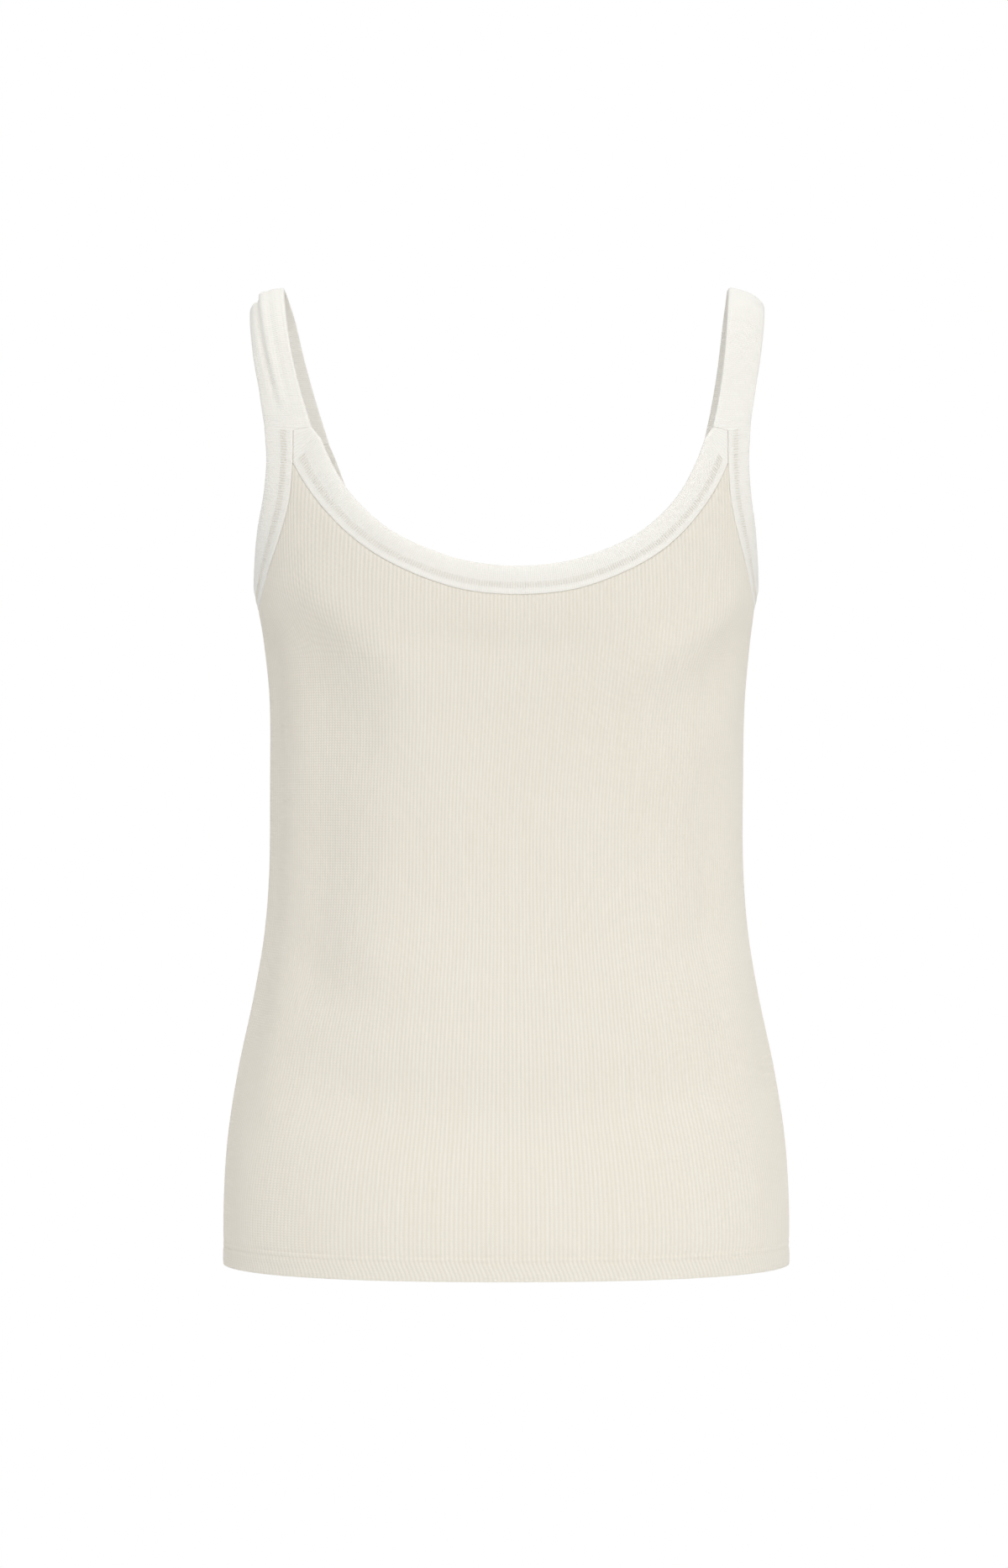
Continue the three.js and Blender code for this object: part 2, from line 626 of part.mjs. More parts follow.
// One neck binding: along the panel's neckline, then narrowing between the armhole bands up to the steps
function makeNeckBinding(side) {
  const neck = NECK_SEAMS[side];
  const strapStep = STRAP_INNER_ROWS.find((row) => row.at === `${side} step`);
  const stepEdge = place(strapStep.x, strapStep.y, strapStep.drop);
  const halfRings = [];
  for (let k = 0; k <= STATIONS_HALF_NECK; k += 1) {
    const { seam, edge, normal, across } = neck.frame(0.5 + (0.5 * k) / STATIONS_HALF_NECK);
    seam.addScaledVector(across, -SEAM_GAP / 2);
    halfRings.push(bindingRing(edge, seam, normal, noFolds));
  }
  const lastNeck = neck.frame(1);
  const pointParameter = POINT_PARAMETERS[side];
  const stepParameter = side === "back" ? 0 : 1;
  for (let k = 1; k <= STATIONS_NECK_END; k += 1) {
    const t = k / STATIONS_NECK_END;
    const arm = ARM_SEAM.frame(lerp(pointParameter, stepParameter, t));
    const edge = lastNeck.edge.clone().lerp(stepEdge, t);
    const seam = arm.seam.clone().addScaledVector(arm.across, SEAM_GAP / 2);
    if (k === STATIONS_NECK_END) {
      const down = arm.along.clone().multiplyScalar(side === "back" ? SEAM_GAP : -SEAM_GAP);
      edge.add(down);
      seam.add(down);
    }
    const normal = lastNeck.normal.clone().lerp(arm.normal, t).normalize();
    halfRings.push(bindingRing(edge, seam, normal, noFolds));
  }
  const leftRings = halfRings.slice(1).reverse();
  const rings = [...leftRings.map((ring) => ring.map(mirrorPoint)), ...halfRings];
  const solid = new Solid();
  loftRings(solid, rings, false);
  return solid.mesh(`${side}_neck_binding`, BINDING_COLOUR);
}

const tankTop = new THREE.Group();
for (const side of ["back", "front"]) {
  tankTop.add(makePanel(side));
  tankTop.add(makeNeckBinding(side));
}
tankTop.add(makeArmholeBand("right_armhole_band", false));
tankTop.add(makeArmholeBand("left_armhole_band", true));

export default tankTop;
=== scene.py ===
# %% [markdown]
# # A rib-knit tank top, seen from behind
# The garment is soft cloth, filled out as when it is worn. Its solids are loaded first, as a fixed frame
# in metres: the origin lies between the shoulders, +Z is up, -Y is the back and +X is the wearer's
# right. Each piece of cloth below is a thin closed shell, worked out on the same body as its solid and
# then hung with its fine ribs.

import bpy
import numpy as np
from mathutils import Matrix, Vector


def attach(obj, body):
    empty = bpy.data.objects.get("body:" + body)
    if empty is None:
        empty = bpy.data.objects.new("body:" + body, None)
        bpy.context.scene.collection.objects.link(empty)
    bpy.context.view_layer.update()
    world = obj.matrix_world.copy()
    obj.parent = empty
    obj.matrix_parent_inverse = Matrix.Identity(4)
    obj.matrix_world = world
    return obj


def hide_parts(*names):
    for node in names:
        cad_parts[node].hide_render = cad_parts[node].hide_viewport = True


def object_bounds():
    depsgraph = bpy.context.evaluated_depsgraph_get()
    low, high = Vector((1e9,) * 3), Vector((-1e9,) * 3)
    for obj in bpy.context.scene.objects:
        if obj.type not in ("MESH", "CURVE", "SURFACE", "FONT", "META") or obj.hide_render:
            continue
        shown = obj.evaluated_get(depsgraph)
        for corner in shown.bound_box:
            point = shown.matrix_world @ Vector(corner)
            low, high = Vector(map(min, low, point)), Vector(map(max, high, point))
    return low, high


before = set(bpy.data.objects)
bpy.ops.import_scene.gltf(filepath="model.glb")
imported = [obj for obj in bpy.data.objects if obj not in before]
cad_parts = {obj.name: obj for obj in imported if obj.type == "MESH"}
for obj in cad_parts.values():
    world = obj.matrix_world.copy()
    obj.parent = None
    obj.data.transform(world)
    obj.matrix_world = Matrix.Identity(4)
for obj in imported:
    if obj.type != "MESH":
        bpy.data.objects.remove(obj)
CAD_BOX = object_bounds()
print("nodes:", sorted(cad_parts))
print("box of the solids:", CAD_BOX)

# %% [markdown]
# ## Camera
# The photograph is taken from straight behind, 2.8 m away, with the lens axis level with the middle of
# the picture. A long lens keeps the hem's curve shallow. The camera could be placed by eye, but three
# measured values settle it: the distance, the height of the lens axis and the focal length in pixels.

# %% Camera
PHOTO_HEIGHT_PX = 1866
FOCAL_LENGTH_PX = 5512
SENSOR_MM = 36.0
MM = 0.001
BINDING_WALL = 2.4  # the straps' wall: their underside is the origin's level
CAMERA_DISTANCE = 2800.0
CAMERA_DROP = 299.7  # lens axis below the top of the straps
CAMERA_SIDE = -1.3

camera_data = bpy.data.cameras.new("photo_camera")
camera_data.sensor_width = SENSOR_MM
camera_data.lens = FOCAL_LENGTH_PX / PHOTO_HEIGHT_PX * SENSOR_MM
camera = bpy.data.objects.new("photo_camera", camera_data)
camera.location = (CAMERA_SIDE * MM, -CAMERA_DISTANCE * MM, (BINDING_WALL - CAMERA_DROP) * MM)
camera.rotation_euler = (np.pi / 2, 0.0, 0.0)
bpy.context.scene.collection.objects.link(camera)
bpy.context.scene.camera = camera
print("lens:", round(camera_data.lens, 1), "mm")

# %% [markdown]
# ## A white studio
# The garment stands before pure white in very soft light, as in a tent of white cloth with large lamps
# round it. The tent could be modelled, but a world that glows does the same with less noise. It is a
# little cool, and brighter towards the zenith. The one lamp is a sun 55 degrees wide, low behind the
# camera and a little from the wearer's right, so that folds which face down or to the wearer's left keep
# a soft shade. Where no cloth is in the way, the camera sees plain white.


# %% Colours and nodes
def linear(hex_colour, alpha=1.0):
    """sRGB hex to linear: c / 12.92 below 0.04045, else ((c + 0.055) / 1.055) to the power 2.4."""
    value = hex_colour.lstrip("#")
    channels = np.array([int(value[i : i + 2], 16) for i in (0, 2, 4)]) / 255.0
    low = channels / 12.92
    high = ((channels + 0.055) / 1.055) ** 2.4
    return (*np.where(channels <= 0.04045, low, high), alpha)


def add_node(tree, kind, settings=None, links=None):
    """Adds a node; settings: input values or properties; links: an input's name or place to a socket."""
    node = tree.nodes.new(kind)
    for name, value in (settings or {}).items():
        if isinstance(name, int) or name in node.inputs:
            node.inputs[name].default_value = value
        else:
            setattr(node, name, value)
    for name, socket in (links or {}).items():
        tree.links.new(socket, node.inputs[name])
    return node


print("middle grey is", round(linear("#808080")[0], 3), "in linear light")

# %% Light from all round
SURROUND = 0.53
OVERHEAD = 0.73  # added towards the zenith, by the sine of the height
SKY_COLOUR = (0.985, 0.995, 1.0, 1.0)
WHITE = (1.0, 1.0, 1.0, 1.0)

bpy.context.scene.view_settings.view_transform = "Standard"
world = bpy.data.worlds.new("white_studio")
world.use_nodes = True
bpy.context.scene.world = world
sky = world.node_tree
sky.nodes.clear()
direction = add_node(sky, "ShaderNodeTexCoord")
parts = add_node(sky, "ShaderNodeSeparateXYZ", links={0: direction.outputs["Generated"]})
above = add_node(sky, "ShaderNodeMath", {"operation": "MAXIMUM", 1: 0.0}, {0: parts.outputs["Z"]})
glow = add_node(
    sky, "ShaderNodeMath", {"operation": "MULTIPLY_ADD", 1: OVERHEAD, 2: SURROUND}, {0: above.outputs[0]}
)
around = add_node(sky, "ShaderNodeBackground", {"Color": SKY_COLOUR}, {"Strength": glow.outputs[0]})
backdrop = add_node(sky, "ShaderNodeBackground", {"Color": WHITE, "Strength": 1.0})
path = add_node(sky, "ShaderNodeLightPath")
seen = add_node(
    sky,
    "ShaderNodeMixShader",
    links={0: path.outputs["Is Camera Ray"], 1: around.outputs[0], 2: backdrop.outputs[0]},
)
add_node(sky, "ShaderNodeOutputWorld", links={"Surface": seen.outputs[0]})
print("light from the side:", SURROUND, "and from the zenith:", round(SURROUND + OVERHEAD, 2))

# %% Key lamp
KEY_STRENGTH = 1.08
KEY_ANGLE = 55.0  # degrees: the wider the lamp, the softer its shade
KEY_FROM_RIGHT = 15.0
KEY_HEIGHT = 10.0
KEY_COLOUR = (1.0, 0.99, 0.98)

key_data = bpy.data.lights.new("soft_key", "SUN")
key_data.energy = KEY_STRENGTH
key_data.angle = np.radians(KEY_ANGLE)
key_data.color = KEY_COLOUR
key = bpy.data.objects.new("soft_key", key_data)
key.rotation_euler = (np.radians(90 - KEY_HEIGHT), 0.0, np.radians(KEY_FROM_RIGHT))
bpy.context.scene.collection.objects.link(key)
print("key lamp:", KEY_HEIGHT, "degrees up and", KEY_FROM_RIGHT, "to the wearer's right")

# %% Floor of white paper: matt and uncoated, so it throws soft light up and shows no reflection
FLOOR_DROP = 0.5  # the floor lies this far below the hem, in metres, out of the picture
FLOOR_HALF = 1.6
PAPER_ROUGHNESS = 0.95

floor_material = bpy.data.materials.new("white_paper_floor")
floor_material.use_nodes = True
floor_shader = floor_material.node_tree.nodes["Principled BSDF"]
floor_shader.inputs["Base Color"].default_value = linear("#FAFAFA")
floor_shader.inputs["Roughness"].default_value = PAPER_ROUGHNESS
floor_mesh = bpy.data.meshes.new("floor")
floor_level = CAD_BOX[0][2] - FLOOR_DROP
floor_plan = np.array([(-1, -1), (1, -1), (1, 1), (-1, 1)]) * FLOOR_HALF
floor_mesh.from_pydata([(x, y, floor_level) for x, y in floor_plan], [], [(0, 1, 2, 3)])
floor_mesh.materials.append(floor_material)
floor = bpy.data.objects.new("floor", floor_mesh)
bpy.context.scene.collection.objects.link(floor)
print("floor at z =", round(floor_level, 3))

# %% [markdown]
# ## The body that fills the cloth
# A worn top takes its form from the figure inside it. A sculpted figure would do, but the garment only
# needs its levels: at each height the outline is a squared ellipse, |x / half width|^n + |y / depth|^n =
# 1, and a smooth cubic runs through the rows of one short table. The table's rows are those of the
# solids.

# %% Levels of the body, in millimetres below the top of the straps
LEVEL_COLUMNS = ("drop", "half_width", "back", "front", "square")
LEVELS = np.array([
    (40, 182, 56, 57, 2.6), (66, 176, 66, 68, 2.6), (90, 169, 75, 78, 2.6), (112, 163, 80, 88, 2.6),
    (140, 156.5, 86, 98, 2.6), (167, 152, 90, 106, 2.6), (195, 148.4, 92, 110, 2.6),
    (215, 145.8, 91.5, 110, 2.55), (250, 142.6, 88, 105, 2.5), (300, 142, 81, 96, 2.4),
    (350, 142.2, 79, 92, 2.35), (390, 145.2, 84, 93, 2.3), (430, 152, 94, 96, 2.3),
    (470, 160.5, 105, 99, 2.3), (510, 166.8, 113.5, 101, 2.3), (545, 169.2, 118, 101, 2.3),
    (588, 169.6, 117, 100, 2.3),
])


def smooth_table(knots, values, at):
    """Cubic through the knots, the slope at each being that between its neighbours on both sides."""
    before = np.concatenate([[0], np.arange(len(knots) - 1)])
    after = np.concatenate([np.arange(1, len(knots)), [len(knots) - 1]])
    slopes = (values[after] - values[before]) / (knots[after] - knots[before])
    at = np.clip(at, knots[0], knots[-1])
    i = np.clip(np.searchsorted(knots, at, side="right") - 1, 0, len(knots) - 2)
    span = knots[i + 1] - knots[i]
    t = (at - knots[i]) / span
    start = (1 + 2 * t) * (1 - t) ** 2
    return (
        start * values[i]
        + (1 - start) * values[i + 1]
        + t * (1 - t) ** 2 * span * slopes[i]
        + t * t * (t - 1) * span * slopes[i + 1]
    )


def level(name, drop):
    """One column of the table, read at any drop."""
    return smooth_table(LEVELS[:, 0], LEVELS[:, LEVEL_COLUMNS.index(name)], drop)


print("waist:", level("half_width", 320.0).round(1), "mm half width")


# %% Points on the body
def unit(vectors):
    """Each vector divided by its length."""
    return vectors / np.linalg.norm(vectors, axis=-1, keepdims=True)


def place(x, y, drop):
    """Points in millimetres, the last axis holding x, y and z."""
    x, y, z = np.broadcast_arrays(x, y, BINDING_WALL - np.asarray(drop))
    return np.stack([x, y, z], axis=-1).astype(float)


def push_to_body(x, y, drop, side):
    """Puts a point on the body: x and y over (|x / half width|^n + |y / depth|^n)^(1 / n)."""
    n = level("square", drop)
    across = np.abs(x / level("half_width", drop)) ** n
    deep = np.abs(y / level(side, drop)) ** n
    reach = (across + deep) ** (1 / n)
    return place(x / reach, y / reach, drop)


def over_body(x, drop, side):
    """The point of the body at x: y is depth times (1 - |x / half width|^n)^(1 / n)."""
    n = level("square", drop)
    rest = np.clip(1 - np.abs(x / level("half_width", drop)) ** n, 0, None)
    sign = -1 if side == "back" else 1
    return place(x, sign * level(side, drop) * rest ** (1 / n), drop)


def body_outward(points, side):
    """Gradient of |x / half width|^n + |y / depth|^n, its upward part measured over 2 mm of height."""
    x, y, drop = points[..., 0], points[..., 1], BINDING_WALL - points[..., 2]
    n, wide, deep = level("square", drop), level("half_width", drop), level(side, drop)
    across = np.sign(x) * n * np.abs(x) ** (n - 1) / wide**n
    depth = np.sign(y) * n * np.abs(y) ** (n - 1) / deep**n

    def value(at):
        """The same sum at another drop."""
        power = level("square", at)
        return np.abs(x / level("half_width", at)) ** power + np.abs(y / level(side, at)) ** power

    return unit(np.stack([across, depth, (value(drop - 1) - value(drop + 1)) / 2], axis=-1))


print("seat:", over_body(0.0, 545.0, "back"), "mm")

# %% [markdown]
# ## Seams and curves
# Every piece meets its neighbours along a seam, so the seams come before the cloth. A seam could be a
# Bezier curve object, but smooth curves through tables of points are quicker to work out in numpy and
# can be read at any place. Each seam also knows the free edge of its binding, and so which way is across
# the binding and which way is out.


# %% Smooth curves through points
def curve(points, t, closed=False):
    """Catmull-Rom: a cubic through the points, its slope at each half the step between neighbours."""
    if closed:
        padded = np.concatenate([points[-1:], points, points[:2]])
        place_on = np.mod(t, 1.0) * len(points)
    else:
        first = 2 * points[0] - points[1]
        last = 2 * points[-1] - points[-2]
        padded = np.concatenate([[first], points, [last]])
        place_on = np.clip(t, 0, 1) * (len(points) - 1)
    i = np.minimum(place_on.astype(int), len(padded) - 4)
    u = (place_on - i)[..., None]
    before, start, end, after = (padded[i + k] for k in range(4))
    slope_a = (end - before) / 2
    slope_b = (after - start) / 2
    point = (
        (1 + 2 * u) * (1 - u) ** 2 * start
        + u * u * (3 - 2 * u) * end
        + u * (1 - u) ** 2 * slope_a
        + u * u * (u - 1) * slope_b
    )
    slope = 6 * u * (1 - u) * (end - start) + (1 - u) * (1 - 3 * u) * slope_a + u * (3 * u - 2) * slope_b
    return point, unit(slope)


def smooth(value, low, high):
    """Rises from 0 at low to 1 at high as 3 u squared minus 2 u cubed."""
    u = np.clip((value - low) / (high - low), 0, 1)
    return u * u * (3 - 2 * u)


def bell(value, centre, reach):
    """Gaussian: exp(-((value - centre) / reach)^2)."""
    return np.exp(-(((value - centre) / reach) ** 2))


def between(a, b, t):
    """The value at share t of the way from a to b."""
    return a + (b - a) * t


def dot(a, b):
    """Sum of the products along the last axis, which is kept."""
    return np.sum(a * b, axis=-1, keepdims=True)


def distance_along(points):
    """Length of the path from its first point to each."""
    return np.concatenate([[0], np.cumsum(np.linalg.norm(np.diff(points, axis=0), axis=1))])


print("a quarter up a smooth rise:", smooth(0.25, 0, 1))

# %% The tables of seams and edges, in millimetres
NECK_ROWS = {  # seam x, seam drop, free edge x, free edge drop, from centre to shoulder point
    "back": np.array([
        (0, 189, 0, 172), (30, 186.5, 27, 169.5), (56, 178.5, 49, 163), (80, 166.5, 70, 153),
        (98, 152.5, 86, 140.5), (112, 137, 98.5, 126), (122, 122.5, 107.5, 110),
        (128.5, 110, 113.5, 95.5),
    ]),
    "front": np.array([
        (0, 211, 0, 194), (30, 207.5, 27, 190.5), (56, 198, 49, 182.5), (80, 183, 69, 170),
        (97, 166.5, 84, 154.5), (110, 148, 96, 137), (120, 129.5, 105.5, 118), (127, 113, 112, 99.5),
    ]),
}
BAND_EDGE_ROWS = np.array([  # x, y, drop: crest, down the back, underarm and up the front
    (155.5, 0, 12), (155.2, -16, 15), (154.2, -29.5, 26), (151.6, -39, 46), (148, -45.5, 66),
    (144.4, -49.5, 87), (143.2, -50, 108), (144.8, -47, 128), (148, -39, 147), (149.8, -27, 164),
    (150.6, -14, 174.5), (150.9, 0, 178), (150.6, 15, 174.5), (149.5, 29, 164), (147, 42, 147),
    (143.4, 51, 128), (141.6, 54.5, 108), (143, 53, 87), (147, 47.5, 66), (151, 40, 46),
    (154, 29.5, 26), (155.2, 16, 15),
])
BACK_STEP_ROW = 5
FRONT_STEP_ROW = 17
STRAP_INNER_ROWS = np.array([  # the strap's inner edge, from front step over crest to back step
    (116, 63.5, 89.5), (122, 57, 66), (127, 47.5, 42), (131, 35, 17.5), (133.5, 18, 4.5),
    (134, 0, 1.2), (133.5, -18, 4.5), (132, -35, 17.5), (129, -46.5, 42), (124.5, -54.5, 66),
    (118.8, -60.5, 88.5),
])
BAND_SEAM_ROWS = np.array([  # the band's seam, from the back step round the underarm to the front step
    (128.4, -57.5, 90.5), (128.6, -59, 110), (130.2, -58.6, 131), (135, -54, 150.5),
    (140.8, -45, 168.5), (146, -27, 186.5), (148.8, 0, 195), (145.8, 29, 187), (140, 49, 169.5),
    (133.6, 60, 151), (128.8, 65, 131), (127.1, 65, 113), (127, 61.5, 91.5),
])
UNDERARM_ROW = 6
print("free edge of the armhole band:", len(BAND_EDGE_ROWS), "points")

# %% Seams
MIRROR = np.array([-1.0, 1.0, 1.0])


class Seam:
    """A seam and the free edge of the binding sewn along it, both read at the same parameter."""

    def __init__(self, seam_points, edge_points):
        """Takes both as rows of points, from one end of the seam to the other."""
        self.seam_points = seam_points
        self.edge_points = edge_points

    def at(self, t):
        """Out is along times width, turned off the body; across is the width less its part along."""
        t = np.asarray(t, dtype=float)
        seam, along = curve(self.seam_points, t)
        edge, _ = curve(self.edge_points, t)
        width = seam - edge
        out = unit(np.cross(along, width))
        facing = np.sign(dot(out[..., :2], seam[..., :2]))
        across = unit(width - along * dot(width, along))
        return {"seam": seam, "edge": edge, "along": along, "out": out * facing, "across": across}


def neck_seam(side):
    """The table's half on the body, with its mirror image before it."""
    rows = NECK_ROWS[side]
    halves = [over_body(rows[:, k], rows[:, k + 1], side) for k in (0, 2)]
    return Seam(*(np.concatenate([half[:0:-1] * MIRROR, half]) for half in halves))


NECK_SEAMS = {side: neck_seam(side) for side in ("back", "front")}
ARM_SEAM = Seam(
    place(*BAND_SEAM_ROWS.T),
    place(*BAND_EDGE_ROWS[BACK_STEP_ROW : FRONT_STEP_ROW + 1].T),
)
ARM_SPANS = len(BAND_SEAM_ROWS) - 1
POINT_PARAMETERS = {"back": 1 / ARM_SPANS, "front": 1 - 1 / ARM_SPANS}  # where the neck seam meets it
UNDERARM_PARAMETER = UNDERARM_ROW / ARM_SPANS
print("neckline seam:", NECK_SEAMS["back"].at([0.5])["seam"].round(1))

# %% [markdown]
# ## The settled neckline
# The worn neckline has slid a little towards the wearer's right. It could be modelled off centre from
# the start, but a symmetric pattern is easier to check, so every finished point is moved sideways by one
# smooth rule at the end.

# %% Settling
SETTLED_BY = 7
SETTLED_HALF_WIDTH = 150
SETTLED_FROM = (0, 95)  # drops between which the slide comes in, and goes out again
SETTLED_TO = (195, 340)
FRONT_SETTLED_BY = 2.5  # the front of the straps and neckline has slid this much further
FRONT_FROM = (0, 55)  # y
FRONT_TO = (110, 200)  # drop


def settle(points):
    """x grows by 7 mm times (1 less the cube of |x| / 150), and 2.5 mm at the front, faded by drop."""
    drop = BINDING_WALL - points[..., 2]
    inward = 1 - np.clip(np.abs(points[..., 0]) / SETTLED_HALF_WIDTH, 0, 1) ** 3
    moved = points.copy()
    moved[..., 0] += SETTLED_BY * inward * smooth(drop, *SETTLED_FROM) * (1 - smooth(drop, *SETTLED_TO))
    front = smooth(points[..., 1], *FRONT_FROM)
    moved[..., 0] += FRONT_SETTLED_BY * front * (1 - smooth(drop, *FRONT_TO))
    return moved


print("the middle of the neckline moves to x =", settle(place(0.0, -90.0, 189.0))[0].round(1), "mm")

# %% [markdown]
# ## Panels: the ribbed body of the garment
# The back and the front are cut from fine rib knit: upright ribs about 2 mm apart, which stretch with
# the body. They could be a bump texture alone, but ribs that are really raised catch the light at the
# sides as well. So each panel is a grid whose columns are the ribs themselves, four to a rib, spaced
# evenly along the cloth. They run straight up to the chest and lean a little outwards from there to the
# neck and armhole seams, where the cloth is tucked into its bindings. An inner grid and four rims close
# it to a thin shell.

# %% Ribs and rows of a panel, in millimetres
SEAM_GAP = 0.3
PANEL_WALL = 1.2
HEM_DROP = 588
HEM_TURN_UP = 12.5
RIBS_UNDER_NECK = 58  # on half a panel, from the centre line to the shoulder point
RIBS_UNDER_ARM = 34
COLUMNS_PER_RIB = 4
POINT_RIB_FOOT = 121.0  # x of the foot of the rib that ends at the shoulder point
FREE_DROP = 225.0  # the last level row
HEM_ROWS = [588, 586.6, 584, 581.5, 579, 577.7, 577, 576.3, 575.3, 574.4, 573.7, 573, 571.5, 568]
BODY_ROWS = np.linspace(560, FREE_DROP, 40)
TOP_ROWS = 18
BESIDE_SEAM = 0.99  # one more row about 1 mm below the seam keeps the ribs full up to it
print("ribs on a panel:", 2 * (RIBS_UNDER_NECK + RIBS_UNDER_ARM))

# %% The outline of a level
OUTLINE_STEPS = 400


def outline(drop, side):
    """Half a level from the centre line to the side: points, and the length along the cloth to each."""
    angle = np.linspace(0, np.pi / 2, OUTLINE_STEPS + 1)
    depth = level(side, drop) * (-1 if side == "back" else 1)
    points = push_to_body(np.sin(angle) * level("half_width", drop), np.cos(angle) * depth, drop, side)
    return points, distance_along(points)


def along_outline(drop, side, share):
    """The point at a share of the way from centre line to side, negative to the wearer's left."""
    points, lengths = outline(drop, side)
    wanted = np.abs(share) * lengths[-1]
    found = np.stack([np.interp(wanted, lengths, points[:, k]) for k in range(3)], axis=-1)
    found[:, 0] *= np.where(share < 0, -1, 1)
    return found, lengths[-1]


print("back hem along the cloth:", round(2 * outline(HEM_DROP, "back")[1][-1]), "mm")

# %% Tops of the ribs
UPRIGHT_SHARE = 0.85  # ribs under the arm run nearly straight up, a little drawn in along the seam
ARM_SPREAD = 0.3  # ribs are this much wider apart at the shoulder point than on average under the arm


def neck_tops(side, foot_x):
    """A rib under the neck leans outwards as it rises, by the cube of its distance from the centre."""
    fine = np.linspace(0.5, 1, 2001)
    neck_x = NECK_SEAMS[side].at(fine)["seam"][:, 0]
    from_centre = foot_x / POINT_RIB_FOOT
    leaning = from_centre * POINT_RIB_FOOT + from_centre**3 * (neck_x[-1] - POINT_RIB_FOOT)
    return NECK_SEAMS[side].at(np.interp(leaning, neck_x, fine))


def arm_tops(side, share):
    """Between even steps of the seam seen from above, for the most part, and of its parameter."""
    span = (POINT_PARAMETERS[side], UNDERARM_PARAMETER)
    down = between(*span, np.linspace(0, 1, 1001))
    seen_from_above = distance_along(ARM_SEAM.at(down)["seam"][:, :2])
    eased = share * (1 + ARM_SPREAD - ARM_SPREAD * share)
    upright = np.interp(eased * seen_from_above[-1], seen_from_above, down)
    return ARM_SEAM.at(between(between(*span, share), upright, UPRIGHT_SHARE))


def panel_columns(side):
    """Right half: each column's share and foot on the last level row, and its top's place, out, across.

    The shoulder point stands off both seams by the sum of their across directions, times half the gap
    over 1 plus their product.
    """
    points, lengths = outline(FREE_DROP, side)
    point_share = np.interp(POINT_RIB_FOOT, points[:, 0], lengths) / lengths[-1]
    edge_share = 1 - SEAM_GAP / 2 / lengths[-1]
    neck = np.linspace(0, 1, RIBS_UNDER_NECK * COLUMNS_PER_RIB + 1)
    arm = np.linspace(0, 1, RIBS_UNDER_ARM * COLUMNS_PER_RIB + 1)[1:]
    share = np.concatenate([neck * point_share, between(point_share, edge_share, arm)])
    foot, _ = along_outline(FREE_DROP, side, share)
    under_neck, under_arm = neck_tops(side, foot[: len(neck), 0]), arm_tops(side, arm)
    top = {key: np.concatenate([under_neck[key], under_arm[key]]) for key in under_neck}
    point = top["seam"] + top["across"] * SEAM_GAP / 2
    corner = len(neck) - 1
    beside = ARM_SEAM.at([POINT_PARAMETERS[side]])
    both = top["across"][corner] + beside["across"][0]
    reach = SEAM_GAP / 2 / (1 + np.dot(top["across"][corner], beside["across"][0]))
    point[corner] = beside["seam"][0] + both * reach
    top["across"][corner] = unit(both)
    point[-1, 1] = SEAM_GAP / 2 * (-1 if side == "back" else 1)
    return share, foot, point, top["out"], top["across"]


print("columns of half a panel:", len(panel_columns("back")[0]))

# %% The grid of a panel
TUCKED = 0.5  # the cloth goes this far into its binding
SIDE_LAP = 0.1  # each panel laps this far over the side seam, which closes it
EVENED = 33  # columns over which the pull of the seams on the cloth is evened out
PULL_POWER = 4  # the pull of the seams fades downwards by this power of the rise
HEM_LEAN = 4.2  # the hem's ribs were pulled this far askew as it was sewn


def evened(columns):
    """Mean of each column and its neighbours on both sides, the ends repeated."""
    reach = EVENED // 2
    padded = np.pad(columns, ((reach, reach), (0, 0)), mode="edge")
    summed = np.cumsum(np.concatenate([np.zeros((1, columns.shape[1])), padded]), axis=0)
    return (summed[EVENED:] - summed[:-EVENED]) / EVENED


def rise_rows(foot, top, side):
    """Above the last level row: x and y go to the seam as the sine of the rise, and lie on the body."""
    rise = np.concatenate([np.linspace(0, 1, TOP_ROWS + 1)[1:-1], [BESIDE_SEAM, 1]])[:, None]
    lean = np.sin(rise * np.pi / 2)
    foot_drop = BINDING_WALL - foot[:, 2]
    top_drop = BINDING_WALL - top[:, 2]
    drop = between(foot_drop, top_drop, rise)
    x, y = (between(foot[:, k], top[:, k], lean) for k in (0, 1))
    rows = push_to_body(x, y, drop, side)
    pulled = top - push_to_body(top[:, 0], top[:, 1], top_drop, side)
    rows += evened(pulled) * rise[..., None] ** PULL_POWER
    rows[-1] = top
    return rows


def panel_grid(side):
    """The middle of the cloth, from the hem up, its outward directions and its place on the cloth."""
    share, foot, top, out, across = panel_columns(side)
    whole = np.concatenate([-share[:0:-1], share])
    drops = np.concatenate([HEM_ROWS, BODY_ROWS])
    rows, widths = [], []
    for drop in drops:
        askew = HEM_LEAN * smooth(drop, HEM_DROP - HEM_TURN_UP - 1, HEM_DROP) * (1 - whole**6)
        points, half = along_outline(drop, side, whole + askew / outline(drop, side)[1][-1])
        rows.append(points)
        widths.append(half)
    risen = rise_rows(foot, top, side)
    risen = np.concatenate([risen[:, :0:-1] * MIRROR, risen], axis=1)
    grid = np.concatenate([np.array(rows), risen])
    outward = body_outward(grid, side)
    inset = np.concatenate([across[:0:-1] * MIRROR, across])
    seam_out = np.concatenate([out[:0:-1] * MIRROR, out])
    rise = np.clip((np.arange(len(grid)) - len(drops) + 1) / TOP_ROWS, 0, 1)[:, None, None]
    grid[-1] -= inset * (TUCKED + SEAM_GAP / 2)
    grid[:, [0, -1], 1] = SIDE_LAP * (1 if side == "back" else -1)
    outward = unit(between(outward, evened(seam_out), rise**PULL_POWER))
    return grid, outward, inset, whole * widths[-1]


for panel_side in ("back", "front"):
    print(panel_side, "grid:", panel_grid(panel_side)[0].shape[:2], "rows and columns")

